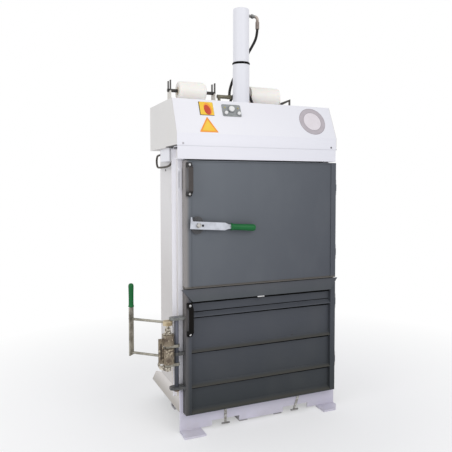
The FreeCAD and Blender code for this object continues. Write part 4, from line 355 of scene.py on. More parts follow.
# %% Paint for ribs, boss and lip, their dust and their painted shade
RIB_OUTER_HALF, BELOW_SHELTER = (-0.269, -0.283), (0.64, 0.5)
BOSS_DIMS, LIP_DIMS = (1.2, 1.1), (0.80, 0.745)
rib_grey = door_paint("lower_door_rib_coat", *LOWER_TONES)
rib_grey.patch((66, 64, 57), ("Y", RIB_OUTER_HALF, 0.75), ("Z", BELOW_SHELTER))
rib_grey.worn_edges((104, 102, 98), 0.4, 0.002)
boss_grey = door_paint("lever_boss_coat", (88, 88, 90), (78, 78, 80), (70, 70, 72), BOSS_DIMS, (124, 122, 118))
boss_grey.clouds((58, 56, 54), 60.0, 0.6).worn_edges((136, 134, 130), 0.6)
lip_grey = door_paint("lower_door_lip_coat", (86, 88, 94), (78, 82, 86), (66, 69, 74), LIP_DIMS,
                      (120, 119, 116))
lip_grey.worn_edges((124, 122, 120))
# Black paint that stands for the shade under the ribs and the lip: painted shadow.
shadow_black = Finish("painted_shadow_black", (10, 11, 12), 0.85).set("Specular IOR Level", 0.08)
shadow_black.clouds((20, 20, 19), 30.0, 0.7).grain(300.0, 0.0001, 0.7, 3.0)
# A dark, slightly glossy paint for a sheet in the slot of the latch's bar: painted shade.
slot_shade_paint = Finish("slot_shade_paint", (62, 50, 38), 0.4).set("Specular IOR Level", 0.4)
slot_shade_paint.clouds((36, 30, 24), 60.0, 0.8).grain(200.0, 0.0003, 0.7, 3.0)
DOOR_DETAILS = (rib_grey, boss_grey, lip_grey, shadow_black, slot_shade_paint)
print("door details:", ", ".join(coat.material.name for coat in DOOR_DETAILS))

# %% [markdown]
# Bare metals differ by their plating. Bright zinc is pale with faint drawn lines. The latch is yellow zinc
# that has gone brown and greasy: two tones in sharp-edged patches over a partly metal base, with its gloss
# uneven. One function makes them all from two tones. The rod on the door is plain dark paint.

# %% Metals
CATCH_EDGE, LEFT_OF_CATCH = (0.7335, 0.7325), (-0.1, -0.06)
ROD_PALES = (0.5, 0.56)


def plated(name, colour, second, roughness, scale, amount, metallic=1.0):
    finish = Finish(name, colour, roughness, metallic).mottle(second, scale, (0.42, 0.62), amount)
    finish.grain(400.0, 0.00008, 0.7, 3.0)
    return finish.gloss(finish.spots(scale * 2), roughness - 0.06, roughness + 0.14)


bright_zinc = plated("bright_zinc", (206, 209, 218), (176, 178, 186), 0.36, 24.0, 0.6, 0.6)
bright_zinc.grain(60.0, 0.0001, 0.5, 2.0, (0.1, 1, 8))
clean_zinc = plated("clean_zinc", (196, 194, 190), (120, 116, 108), 0.3, 70.0, 0.8, 0.55)
aged_zinc = plated("aged_zinc", (214, 206, 190), (70, 58, 46), 0.28, 90.0, 0.95, 0.6)
catch_zinc = plated("catch_zinc", (236, 236, 238), (196, 194, 190), 0.3, 60.0, 0.7, 0.5)
catch_zinc.patch((66, 66, 68), ("Z", CATCH_EDGE), ("X", LEFT_OF_CATCH))
old_zinc = plated("tarnished_zinc", (138, 126, 108), (88, 74, 62), 0.42, 26.0, 0.85, 0.35)
old_zinc.mottle((200, 188, 164), 70.0, (0.56, 0.64), 0.75).mottle((54, 40, 30), 34.0, (0.6, 0.66), 0.8)
sand_zinc = plated("dulled_zinc", (206, 190, 158), (146, 128, 98), 0.45, 34.0, 0.9, 0.35)
lever_zinc = plated("lever_zinc", (164, 160, 148), (112, 108, 96), 0.4, 30.0, 0.8, 0.4)
lever_zinc.mottle((74, 68, 56), 16.0, (0.6, 0.7), 0.6)
clasp_grey = plated("clasp_grey", (132, 134, 132), (92, 92, 88), 0.42, 40.0, 0.8, 0.3)
clasp_dark = plated("clasp_dark", (74, 76, 78), (104, 102, 98), 0.45, 60.0, 0.7, 0.3)
rusty = plated("rusty_steel", (126, 104, 86), (84, 62, 46), 0.6, 40.0, 0.9, 0.2)
dark_steel = plated("oiled_steel", (56, 55, 54), (84, 79, 70), 0.45, 40.0, 0.6, 0.3)
olive_steel = plated("olive_fitting", (128, 123, 104), (88, 84, 68), 0.45, 50.0, 0.7, 0.3)
ferrule_steel = plated("ferrule_steel", (142, 130, 122), (92, 82, 76), 0.42, 50.0, 0.7, 0.3)
fitting_steel = plated("fitting_steel", (128, 128, 126), (60, 60, 58), 0.36, 80.0, 0.8, 0.4)
copper = plated("coppery_bend", (178, 166, 156), (112, 98, 88), 0.32, 60.0, 0.8, 0.5)
hook_steel = plated("hook_steel", (150, 148, 146), (96, 92, 88), 0.4, 60.0, 0.8, 0.5)
screw_steel = plated("screw_steel", (110, 108, 110), (80, 78, 78), 0.4, 60.0, 0.8, 0.3)
collar_metal = plated("collar_metal", (150, 152, 154), (118, 120, 122), 0.35, 60.0, 0.6, 0.5)
chrome = plated("hard_chrome", (214, 214, 218), (200, 200, 206), 0.14, 12.0, 0.4)
rod_coat = plated("rod_coat", (72, 75, 84), (58, 60, 66), 0.46, 16.0, 0.7, 0.0).set("Specular IOR Level", 0.3)
rod_coat.fade("Z", ROD_PALES, (108, 110, 121))
machine_grey = plated("machine_grey", (122, 126, 126), (104, 108, 108), 0.5, 10.0, 0.6, 0.0)
print("metals are ready, from", bright_zinc.material.name, "to", machine_grey.material.name)

# %% [markdown]
# The stands that carry the strap rolls are painted pale and turn dark above the height where the spindles
# are dropped in. One coat with a sharp change of tone at that height gives both.

# %% Stands
FORK_HEIGHT = (1.926, 1.930)
stand_coat = powder_coat("stand_coat", (218, 214, 206), (200, 195, 186))
stand_coat.fade("Z", FORK_HEIGHT, (62, 60, 56)).worn_edges((120, 112, 100), 0.6, 0.002)
print(stand_coat.material.name, "darkens from", FORK_HEIGHT[0], "m")

# %% [markdown]
# Rubber, moulded plastic and the wound strap come next. The strap rolls are cream, with the edges of their
# turns as fine steps across the roll. A wave along X gives those steps, and a second noise keeps them uneven.

# %% Plastics, rubber and strap
HANDLE_MIDDLE, HANDLE_TOP = (1.335, 1.345), (1.462, 1.470)
HANDLE_BLACK = (30, 28, 27)
green = Finish("green_grip", (8, 100, 46), 0.4).set("Specular IOR Level", 0.3)
green.clouds((4, 80, 36), 9.0, 0.6).grain(180.0, 0.0001, 0.4)
black = Finish("black_moulding", (15, 14, 13), 0.55).set("Specular IOR Level", 0.08)
black.clouds((28, 25, 22), 20.0, 0.5).grain(1200.0, 0.00005, 0.8)
# The upper handle has a brownish grey band across its middle and black ends: a painted sheen.
sheen_black = Finish("moulding_with_painted_sheen", HANDLE_BLACK, 0.45).set("Specular IOR Level", 0.3)
sheen_black.fade("Z", HANDLE_MIDDLE, (74, 69, 67)).fade("Z", HANDLE_TOP, HANDLE_BLACK)
sheen_black.clouds((52, 48, 46), 24.0, 0.5).grain(1200.0, 0.00005, 0.8)
rubber = Finish("hose_rubber", (34, 32, 30), 0.6).set("Specular IOR Level", 0.25)
rubber.clouds((52, 48, 42), 18.0, 0.6).grain(700.0, 0.00008, 0.8)
cable_skin = Finish("cable_skin", (52, 45, 38), 0.5).set("Specular IOR Level", 0.3)
cable_skin.clouds((92, 82, 68), 50.0, 0.6).grain(900.0, 0.00005, 0.6)
strap = Finish("wound_strap", (252, 248, 241), 0.45).set("Subsurface Weight", 0.1)
turns = strap.add("ShaderNodeTexWave", {"Vector": strap.place, "Scale": 48.0, "Distortion": 0.6})
strap.tint(strap.between(turns.outputs["Fac"], 0.0, 0.35, 0.22, 0.0), (232, 224, 208))
strap.relief(turns.outputs["Fac"], 0.0003, 0.5).clouds((246, 239, 224), 7.0, 0.5)
tube_paper = Finish("paper_tube", (222, 210, 190), 0.8)
tube_paper.clouds((204, 190, 168), 40.0, 0.7).grain(300.0, 0.0001, 0.7, 3.0)
SOFT_FINISHES = (green, black, sheen_black, rubber, cable_skin, strap, tube_paper)
print("soft finishes:", ", ".join(coat.material.name for coat in SOFT_FINISHES))

# %% [markdown]
# Films and the caps of the buttons are smooth, so they get two close tones and hardly any skin. The two lamps
# on the control plate are tinted lenses that let some light through.

# %% Films and control finishes
def film(name, colour, second, scale, amount, roughness=0.35):
    """A smooth film or moulded cap of two close tones."""
    return Finish(name, colour, roughness).clouds(second, scale, amount).grain(500.0, 0.00004, 0.5)


yellow_film = film("yellow_film", (246, 198, 40), (252, 214, 84), 16.0, 0.6, 0.3)
orange_film = film("orange_film", (212, 70, 26), (176, 40, 14), 26.0, 0.8)
amber_film = film("amber_film", (244, 150, 36), (248, 176, 60), 26.0, 0.7)
for coat in (yellow_film, orange_film, amber_film):
    coat.set("Coat Weight", 0.2)
dark_film = film("dark_film", (46, 34, 24), (68, 52, 36), 30.0, 0.5, 0.4).set("Specular IOR Level", 0.25)
badge_grey = film("badge_grey", (180, 172, 177), (196, 188, 192), 24.0, 0.7)
badge_edge = film("badge_edge", (150, 142, 148), (168, 160, 166), 24.0, 0.7)
badge_pale = film("badge_pale", (226, 219, 223), (214, 206, 210), 30.0, 0.5, 0.32)
plate_grey = film("control_grey", (152, 155, 155), (124, 127, 126), 90.0, 0.8, 0.4)
button_white = film("button_white", (236, 236, 234), (220, 220, 216), 60.0, 0.5, 0.3)
lamp_lens = Finish("lamp_lens", (226, 214, 150), 0.15).set("Transmission Weight", 0.35)
lamp_lens.clouds((200, 186, 110), 90.0, 0.5)
print("films and controls are ready, with", lamp_lens.material.name)

# %% [markdown]
# ## From a CAD node to a softer twin
# The packed sheets have perfectly sharp folds, and real ones never do. The frame's own mesh must stay as it
# is, so the piece is a copy: its loose triangles are merged, flat neighbours dissolved, and each sharp edge
# gets a small two-step bevel. Weighted normals keep the large faces flat in the light. The copy then stands
# for the node and rides on the node's body.

# %% Helpers that make and register a piece
SMOOTH_ANGLE = math.radians(42)
FLAT_ANGLE = math.radians(0.3)
SAME_PLACE = 1e-6


def body_of(node):
    return frame["nodes"][node]["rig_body"]


def register(name, form, finish):
    """Turns a bmesh into an object at the origin with smooth shading that breaks at sharp edges."""
    for face in form.faces:
        face.smooth = True
    for edge in form.edges:
        edge.smooth = not (edge.is_manifold and edge.calc_face_angle() > SMOOTH_ANGLE)
    mesh = bpy.data.meshes.new(name)
    form.to_mesh(mesh)
    form.free()
    piece = bpy.data.objects.new(name, mesh)
    bpy.context.scene.collection.objects.link(piece)
    mesh.materials.append(finish.material)
    even = piece.modifiers.new("even_light", "WEIGHTED_NORMAL")
    even.keep_sharp = True
    return piece


def make_piece(name, form, finish):
    """Registers a form of the script's own, whose faces are first turned outwards."""
    bmesh.ops.recalc_face_normals(form, faces=form.faces)
    return register(name, form, finish)


def soften(form, width, angle=30.0, steps=2):
    """Bevels every edge that turns more than an angle, by a width in millimetres."""
    sharp = [edge for edge in form.edges if edge.is_manifold and edge.calc_face_angle() > math.radians(angle)]
    bmesh.ops.bevel(form, geom=sharp, offset=width * MM, offset_type="OFFSET", affect="EDGES",
                    segments=steps, profile=0.5, clamp_overlap=True, material=-1)


def stand_for(piece, *nodes):
    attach(piece, body_of(nodes[0]))
    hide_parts(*nodes)
    return piece


print("folds shade smooth up to", round(math.degrees(SMOOTH_ANGLE)), "degrees")

# %% [markdown]
# One node often holds several loose solids, such as a plate and the bolts in it, and they don't all have the
# same finish. So each face is asked for its own middle, its normal and the middle of its solid, and a small
# test on those picks the other finish.

# %% Other finishes within one node
def part_middles(form):
    """For each face, the middle in millimetres of the loose part that it belongs to."""
    middles = {}
    for start in form.faces:
        if start in middles:
            continue
        part, todo = {start}, [start]
        while todo:
            for edge in todo.pop().edges:
                fresh = [face for face in edge.link_faces if face not in part]
                part.update(fresh)
                todo.extend(fresh)
        corners = [vert.co for face in part for vert in face.verts]
        low = Vector([min(corner[axis] for corner in corners) for axis in range(3)])
        high = Vector([max(corner[axis] for corner in corners) for axis in range(3)])
        for face in part:
            middles[face] = (low + high) / 2 / MM
    return middles


def recoat(form, others):
    """Gives faces another finish where a test says so."""
    parts = part_middles(form)
    for slot, (finish, test) in enumerate(others, start=1):
        for face in form.faces:
            if test(face.calc_center_median() / MM, face.normal, parts[face]):
                face.material_index = slot


def solid_within(low=-math.inf, high=math.inf, axis=Z):
    """A test for solids whose middle lies between two places along an axis, in millimetres."""
    def test(middle, normal, part):
        return low < part[axis] < high
    return test


def twin(node, finish, width, others=()):
    """A copy of a CAD node with softened edges, which stands for it."""
    form = bmesh.new()
    form.from_mesh(frame["nodes"][node].data)
    bmesh.ops.remove_doubles(form, verts=form.verts, dist=SAME_PLACE)
    bmesh.ops.dissolve_limit(form, angle_limit=FLAT_ANGLE, verts=form.verts, edges=form.edges)
    soften(form, width)
    form.normal_update()
    recoat(form, others)
    piece = register(node + "_dressed", form, finish)
    for other, test in others:
        piece.data.materials.append(other.material)
    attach(piece, body_of(node))
    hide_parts(node)
    return piece


def dress(table):
    """Makes a twin of each node in a table of finish, edge width and other finishes."""
    for node, settings in table.items():
        piece = twin(node, *settings)
        print(node, len(piece.data.polygons), "faces")


print("a twin's corners are merged within", SAME_PLACE / MM, "mm")

# %% [markdown]
# ## Base and casing
# The casing is folded sheet on a base of thick plate. Thick plate gets a wider softened edge than sheet,
# because that is how a torch or a brake leaves it. The feet are a paler paint than the plate they are welded
# to, and the front flange of each wall is the cool white of the front, a little brighter as painted light.

# %% Base, chamber and hood
FRONT_POST_Y = -200
is_foot = solid_within(high=20)


def is_front_flange(middle, normal, part):
    return normal.y < -0.5 and middle.y < FRONT_POST_Y


dress({
    "base_front_plate": (lilac, 1.2, [(foot_coat, is_foot)]),
    "base_bearers": (bearer_coat, 1.5),
    "chamber_floor": (machine_grey, 1.0),
    "side_skirts": (skirt_coat, 0.8),
    "side_wall_left": (cream, 0.8, [(flange_white_lit, is_front_flange)]),
    "side_wall_right": (cream, 0.8, [(flange_white_lit, is_front_flange)]),
    "rear_wall": (cream, 0.8),
    "cylinder_deck": (white, 1.0),
    "head_beam": (beam_white, 1.2),
    "hood_front_cover": (front_white, 0.9),
    "hood_side_left": (hood_cream, 0.9),
    "hood_side_right": (hood_cream, 0.9),
    "hood_top_cover": (white, 0.8),
    "latch_keepers": (flange_white_lit, 0.8),
    "hinge_lugs": (cream, 0.8),
    "blank_plate": (cream, 0.3),
})

# %% [markdown]
# The doors are welded frames with a sheet let in, and ribs across the lower one. A twin is enough here too,
# since the folds and ribs are in the model. The bright catch under the lip and the bolts of the bow handles
# are picked out by their place.

# %% Doors and everything welded to them
BOLT_SINK = 20
is_catch = solid_within(high=735)
is_top_clasp = solid_within(low=600)
is_bow_bolt = solid_within(low=DOOR_FACE - BOLT_SINK, axis=Y)
dress({
    "upper_door_frame": (upper_grey, 1.2),
    "upper_door_panel": (upper_grey, 0.8),
    "lever_boss": (boss_grey, 1.5),
    "lower_door_frame": (lower_grey, 1.2),
    "lower_door_panel": (lower_grey, 0.8),
    "lower_door_ribs": (rib_grey, 0.8),
    "lower_door_lip": (lip_grey, 0.8, [(catch_zinc, is_catch)]),
    "rod_clasps": (clasp_dark, 1.6, [(clasp_grey, is_top_clasp)]),
    "upper_door_handle": (sheen_black, 0.8, [(catch_zinc, is_bow_bolt)]),
    "lower_door_handle": (black, 0.8, [(catch_zinc, is_bow_bolt)]),
})

# %% [markdown]
# The latch is a stack of small forgings and bars, each with its own state of wear, and the fittings on the
# cylinder are a mix of steel, rubber and a coppery bend. Small pieces get narrow edges, so that they don't
# melt away, and heights tell the solids of one node apart.

# %% Mechanism and machine pieces
LOWER_LINK_Z, UPPER_LINK_FROM, LINK_HALF = 400, 480, 3
HOOK_BAR_TOP = 24
BEND_RIGHT_OF = 61
SWITCH_FOOT, SWITCH_HEAD = 15.5, 20.5
is_arm_boss = solid_within(low=600)
is_left_screw = solid_within(high=0, axis=X)
is_rubber_ring = solid_within(high=1850)
is_olive = solid_within(1850, 2050)
is_ferrule = solid_within(2340, 2370)
is_top_elbow = solid_within(2390, 2400)
is_guide = solid_within(low=280, axis=X)


def is_link(middle, normal, part):
    return abs(part.z - LOWER_LINK_Z) < LINK_HALF or part.z > UPPER_LINK_FROM


def is_hook_bar(middle, normal, part):
    return middle.z < HOOK_BAR_TOP


def is_bend(middle, normal, part):
    return is_top_elbow(middle, normal, part) and middle.x > BEND_RIGHT_OF


def is_switch_end(middle, normal, part):
    low, high = span("door_switch", Z)
    return part.z < low + SWITCH_FOOT or part.z > high - SWITCH_HEAD


dress({
    "t_hooks": (clean_zinc, 0.5, [(hook_steel, is_hook_bar)]),
    "hinge_pins": (bright_zinc, 0.6),
    "hood_screws": (screw_steel, 0.2, [(bearer_coat, is_left_screw)]),
    "lever_bar": (bright_zinc, 0.8),
    "lever_spindle": (clean_zinc, 0.6),
    "latch_yoke": (aged_zinc, 0.9, [(lever_zinc, is_link)]),
    "latch_spindle": (aged_zinc, 0.7),
    "latch_barrel": (old_zinc, 0.9, [(sand_zinc, is_arm_boss)]),
    "slotted_strap": (old_zinc, 0.7),
    "lever_frame": (lever_zinc, 0.7),
    "roll_stands": (stand_coat, 0.6, [(dark_steel, is_guide)]),
    "roll_spindles": (dark_steel, 0.8),
    "hydraulic_fittings": (fitting_steel, 0.7, [(rubber, is_rubber_ring), (olive_steel, is_olive),
                                                (ferrule_steel, is_ferrule), (copper, is_bend)]),
    "door_switch": (white, 0.6, [(dark_steel, is_switch_end)]),
    "press_platen": (machine_grey, 1.2),
    "oil_tank": (machine_grey, 2.0),
    "pump_unit": (machine_grey, 1.5),
})

# %% [markdown]
# ## Turned pieces
# A lathe part is its outline spun round an axis. The spin operator does that in many fine steps, so the
# outline only needs the points where the real tool changed direction. Six steps give a nut.

# %% A lathe helper
def turned(outline, at, steps, closed=False, width=0.0, rounds=2):
    """A bmesh spun from an outline of radius and height in millimetres, then moved into place."""
    form = bmesh.new()
    spots = [form.verts.new((radius * MM, 0, height * MM)) for radius, height in outline]
    pairs = list(zip(spots, spots[1:])) + ([(spots[-1], spots[0])] if closed else [])
    edges = [form.edges.new(pair) for pair in pairs]
    bmesh.ops.spin(form, geom=spots + edges, cent=(0, 0, 0), axis=(0, 0, 1), angle=math.tau,
                   steps=steps, use_merge=True)
    bmesh.ops.remove_doubles(form, verts=form.verts, dist=SAME_PLACE)
    bmesh.ops.recalc_face_normals(form, faces=form.faces)
    if width:
        soften(form, width, 25.0, rounds)
    bmesh.ops.transform(form, matrix=at, verts=form.verts)
    return form


def at_point(x, y, z, axis="Z"):
    """A placement in millimetres with the lathe's axis along X, Y or Z."""
    turn = {
        "X": Matrix.Rotation(math.radians(90), 4, "Y"),
        "Y": Matrix.Rotation(math.radians(-90), 4, "X"),
        "Z": Matrix.Identity(4),
    }[axis]
    return Matrix.Translation(Vector((x, y, z)) * MM) @ turn


QUARTER = [math.radians(turn) for turn in range(0, 91, 15)]
print("a quarter round is drawn in", len(QUARTER) - 1, "steps")

# %% [markdown]
# The press cylinder stands on the hood: a flanged tube, a black band, and a thinner tube with a rounded end.
# All three are outlines about one axis, whose sizes are read from the solids they stand for.

# %% The press cylinder
ROUND_STEPS = 96
BARREL_RADIUS = 51
FLANGE_THICK = 20
BAND_OVERLAP, BAND_CHAMFER = 6, 4
CAP_ROUND = 5
RING_LOW, RING_HIGH = span("cylinder_ring", Z)
CAP_TOP = span("cylinder_cap_tube", Z)[1]
CAP_RADIUS = width_of("cylinder_cap_tube", X) / 2
RING_RADIUS = width_of("cylinder_ring", X) / 2
FLANGE_RADIUS = width_of("cylinder_barrel", X) / 2
FLANGE_TOP = HOOD_SEAM + FLANGE_THICK
cylinder_place = at_point(middle_of("cylinder_barrel", X), middle_of("cylinder_barrel", Y), 0)
barrel = turned([
    (0, HOOD_SEAM),
    (FLANGE_RADIUS, HOOD_SEAM),
    (FLANGE_RADIUS, FLANGE_TOP),
    (BARREL_RADIUS, FLANGE_TOP),
    (BARREL_RADIUS, RING_LOW),
    (0, RING_LOW),
], cylinder_place, ROUND_STEPS, width=1.0)
stand_for(make_piece("press_barrel", barrel, white), "cylinder_barrel")
band = turned([
    (CAP_RADIUS - BAND_OVERLAP, RING_LOW),
    (RING_RADIUS - BAND_CHAMFER, RING_LOW),
    (RING_RADIUS, RING_LOW + BAND_CHAMFER),
    (RING_RADIUS, RING_HIGH - BAND_CHAMFER),
    (RING_RADIUS - BAND_CHAMFER, RING_HIGH),
    (CAP_RADIUS - BAND_OVERLAP, RING_HIGH),
], cylinder_place, ROUND_STEPS, closed=True, width=0.4)
stand_for(make_piece("press_ring", band, black), "cylinder_ring")
shoulder = [
    (CAP_RADIUS - CAP_ROUND + CAP_ROUND * math.cos(turn), CAP_TOP - CAP_ROUND + CAP_ROUND * math.sin(turn))
    for turn in QUARTER
]
cap = turned([(0, RING_HIGH), (CAP_RADIUS, RING_HIGH), *shoulder, (0, CAP_TOP)], cylinder_place, ROUND_STEPS)
stand_for(make_piece("press_cap_tube", cap, white), "cylinder_cap_tube")
twin("piston_rod", chrome, 0.6)
print("cylinder", round(CAP_TOP - HOOD_SEAM), "mm tall at x", round(middle_of("cylinder_barrel", X)))

# %% [markdown]
# The rod on the lower door is a bar of 24 millimetres with a turned shoulder at its top, and a chamfered nut
# below the bottom clasp. The nut's outline is narrower at both ends, and spun in six steps.

# %% The latch rod and its nut
ROD_RADIUS, ROD_SHOULDER, ROD_CHAMFER = 12, 2, 1.5
NUT_FLATS, NUT_TALL, NUT_BORE = 28, 12, 12.02
NUT_CORNER = NUT_FLATS / math.sqrt(3)
NUT_END = NUT_CORNER * 0.94
ROD_LOW, ROD_HIGH = span("latch_rod", Z)
NUT_TOP = ROD_LOW + NUT_TALL
rod_place = at_point(middle_of("latch_rod", X), middle_of("latch_rod", Y), 0)
bar = turned([
    (0, ROD_LOW),
    (ROD_RADIUS - ROD_CHAMFER, ROD_LOW),
    (ROD_RADIUS, ROD_LOW + ROD_CHAMFER),
    (ROD_RADIUS, ROD_HIGH - ROD_SHOULDER),
    (ROD_RADIUS - ROD_SHOULDER, ROD_HIGH),
    (0, ROD_HIGH),
], rod_place, 40)
stand_for(make_piece("latch_rod_bar", bar, rod_coat), "latch_rod")
nut = turned([
    (NUT_BORE, ROD_LOW),
    (NUT_END, ROD_LOW),
    (NUT_CORNER, ROD_LOW + ROD_CHAMFER),
    (NUT_CORNER, NUT_TOP - ROD_CHAMFER),
    (NUT_END, NUT_TOP),
    (NUT_BORE, NUT_TOP),
], rod_place, 6, closed=True, width=0.4, rounds=1)
stand_for(make_piece("latch_rod_nut", nut, rusty), "latch_rod")
print("rod", round(ROD_HIGH - ROD_LOW), "mm long")

# %% [markdown]
# ## Grips
# Both green grips are dipped plastic sleeves with a flared lip at the open end and a slight waist. The upper
# one lies along the lever, which hangs a few degrees off level, so its outline is spun along X and then
# turned by that angle about the pivot.

# %% The two grips
GRIP_STEPS = 48
LEVER_TILT = math.radians(3.8)
PIVOT_X, PIVOT_Z = -413, 1154
PIVOT_TO_GRIP = 190
LEVER_GRIP = [(0, 0.2), (15, 0.2), (18.6, 1.2), (19.8, 3.5), (19.6, 7), (18.2, 10), (17.4, 14), (17.2, 40),
              (17.6, 80), (18.6, 118), (19.2, 132), (18.4, 141), (15.2, 146.6), (10, 149.2), (0, 149.8)]
pivot = Vector((PIVOT_X, middle_of("lever_grip", Y), PIVOT_Z)) * MM
along_lever = (Matrix.Translation(pivot) @ Matrix.Rotation(LEVER_TILT, 4, "Y")
               @ Matrix.Translation((PIVOT_TO_GRIP * MM, 0, 0)) @ Matrix.Rotation(math.radians(90), 4, "Y"))
stand_for(make_piece("lever_grip_sleeve", turned(LEVER_GRIP, along_lever, GRIP_STEPS), green), "lever_grip")
GRIP_LOW, GRIP_HIGH = span("side_grip", Z)
GRIP_LONG = GRIP_HIGH - GRIP_LOW
SIDE_GRIP = [(0, 0.2), (12.5, 0.2), (15, 1.2), (15.9, 3.2), (15.8, 6), (14.4, 9), (13.6, 13), (13.4, 40),
             (13.8, 80), (14.6, GRIP_LONG - 24), (14.8, GRIP_LONG - 16), (13.4, GRIP_LONG - 8),
             (10.2, GRIP_LONG - 3), (5.5, GRIP_LONG - 0.6), (0, GRIP_LONG - 0.2)]
side_place = at_point(middle_of("side_grip", X), middle_of("side_grip", Y), GRIP_LOW)
stand_for(make_piece("side_grip_sleeve", turned(SIDE_GRIP, side_place, GRIP_STEPS), green), "side_grip")
print("grips", round(LEVER_GRIP[-1][1]), "and", round(GRIP_LONG), "mm long")

# %% [markdown]
# ## Strap rolls
# Each roll is wound strap on a paper tube. The outline has soft shoulders, because the outer turns slip a
# little at the ends, and the tube stands in a shallow dish.

# %% The two rolls
TUBE_BORE, TUBE_MIDDLE, TUBE_OUTSIDE = 10.4, 20, 24
STRAP_BORE = 24.2


def strap_roll(node, shoulder, short=0.0):
    """The wound strap and its tube. A roll can stop short of its solid's right end."""
    low, high = span(node, X)
    radius = width_of(node, Z) / 2
    length = high - low - short
    place = at_point(low, middle_of(node, Y), middle_of(node, Z), "X")
    start = [(radius - shoulder + shoulder * math.sin(t), shoulder - shoulder * math.cos(t)) for t in QUARTER]
    end = [(reach, length - height) for reach, height in reversed(start)]
    body = turned([(STRAP_BORE, 3), (STRAP_BORE, 0.6), *start, *end,
                   (STRAP_BORE, length - 0.6), (STRAP_BORE, length - 3)], place, ROUND_STEPS, closed=True)
    stand_for(make_piece(node + "_wound", body, strap), node)
    tube = turned([(TUBE_BORE, 0.2), (TUBE_MIDDLE, 0.2), (TUBE_MIDDLE, 3.2), (TUBE_OUTSIDE, 3.2),
                   (TUBE_OUTSIDE, length - 3.2), (TUBE_MIDDLE, length - 3.2), (TUBE_MIDDLE, length - 0.2),
                   (TUBE_BORE, length - 0.2)], place, 64, closed=True, width=0.4)
    stand_for(make_piece(node + "_tube", tube, tube_paper), node)
    return length


print("rolls", strap_roll("strap_roll_left", 16), "and", strap_roll("strap_roll_right", 2.5, 6), "mm")

# %% [markdown]
# ## Signs and controls
# Everything on the slanted front is drawn flat first, in millimetres, and then laid on the slope with one
# matrix: X stays across, Y goes up the slope and Z points out of it. Films are stacked sheets, a fraction of
# a millimetre each, and carry plain fields of colour only.

# %% Helpers for pieces on the slope
BEND_HEIGHT = 1650
HOOD_RISE = 194
HOOD_SETBACK = 85
LEAN = math.atan2(HOOD_RISE, HOOD_SETBACK)


def slope_place(x, up, out=0.0):
    foot = Matrix.Translation(Vector((x, HOOD_FRONT, BEND_HEIGHT)) * MM)
    return foot @ Matrix.Rotation(LEAN, 4, "X") @ Matrix.Translation(Vector((0, up, out)) * MM)


def flat_sheet(outline, low, high, at, corner=0.0, edge=0.15):
    """A thin plate of any outline, with round corners, between two heights over the slope."""
    form = bmesh.new()
    face = form.faces.new([form.verts.new((x * MM, y * MM, low * MM)) for x, y in outline])
    if corner:
        bmesh.ops.bevel(form, geom=list(face.verts), offset=corner * MM, offset_type="OFFSET",
                        affect="VERTICES", segments=6, profile=0.5, clamp_overlap=True, material=-1)
    lifted = bmesh.ops.extrude_face_region(form, geom=list(form.faces))["geom"]
    rise = [item for item in lifted if isinstance(item, bmesh.types.BMVert)]
    bmesh.ops.translate(form, verts=rise, vec=(0, 0, (high - low) * MM))
    bmesh.ops.recalc_face_normals(form, faces=form.faces)
    soften(form, edge, 60.0, 1)
    bmesh.ops.transform(form, matrix=at, verts=form.verts)
    return form


def rectangle(wide, tall, x=0.0, y=0.0):
    return [(x - wide / 2, y - tall / 2), (x + wide / 2, y - tall / 2),
            (x + wide / 2, y + tall / 2), (x - wide / 2, y + tall / 2)]


def leaning_spot(wide, tall, x, y):
    """An egg-shaped outline that leans to the left."""
    angles = [math.tau * index / 28 for index in range(28)]
    return [(x + wide * math.cos(t) - 0.22 * wide * math.sin(t), y + tall * math.sin(t)) for t in angles]


print("the slope leans", round(90 - math.degrees(LEAN)), "degrees back")

# %% [markdown]
# The square film has a dark rim and a leaning spot in two tones, and the triangle is a smaller triangle on a
# larger one. Each sheet starts where the one below ends, so that no two faces share a plane and flicker.

# %% Two films
square_place = slope_place(-339, 155)
triangle_place = slope_place(-343, 10)
TRIANGLE = [(-55, -2), (55, -2), (0, 95)]
INNER_PART, CENTRE_UP = 0.7, 30.6
inner = [(x * INNER_PART, CENTRE_UP + (y - CENTRE_UP) * INNER_PART) for x, y in TRIANGLE]
SHEETS = {
    "square_film_rim": (rectangle(85, 85), 0, 0.5, square_place, 3, dark_film),
    "square_film_field": (rectangle(80, 81, 2, 1.5), 0.5, 0.75, square_place, 3, yellow_film),
    "square_film_halo": (leaning_spot(23, 38, 9, -1), 0.75, 0.85, square_place, 0, amber_film),
    "square_film_spot": (leaning_spot(19, 31, 5, -7), 0.85, 0.95, square_place, 0, orange_film),
    "triangle_film_rim": (TRIANGLE, 0, 0.5, triangle_place, 6, amber_film),
    "triangle_film_field": (inner, 0.5, 0.85, triangle_place, 3, yellow_film),
}
for name, (*shape, finish) in SHEETS.items():
    stand_for(make_piece(name, flat_sheet(*shape), finish), "front_signs")
print("films lie", max(sheet[2] for sheet in SHEETS.values()), "mm proud at most")

# %% [markdown]
# The badge is a round film, so its layers are turned: a grey disc, a plain ring and a pale field.

# %% The round badge
badge_place = slope_place(330, 109)
BADGE_LAYERS = {
    "badge_disc": ([(0, 0), (87.2, 0), (87.4, 0.3), (87.2, 0.5), (0, 0.5)], False, badge_edge),
    "badge_ring": ([(60.5, 0.5), (60.5, 0.75), (84.5, 0.75), (84.5, 0.5)], True, badge_grey),
    "badge_field": ([(0, 0.5), (58, 0.5), (58, 0.75), (0, 0.75)], False, badge_pale),
}
for name, (outline, closed, finish) in BADGE_LAYERS.items():
    layer = turned(outline, badge_place, ROUND_STEPS, closed)
    stand_for(make_piece(name, layer, finish), "round_badge")
print("badge of", len(BADGE_LAYERS), "layers")

# %% [markdown]
# The control plate carries one large and two small push buttons, each in a turned collar, and two lamps. The
# caps are spun with a shallow dish for the finger.

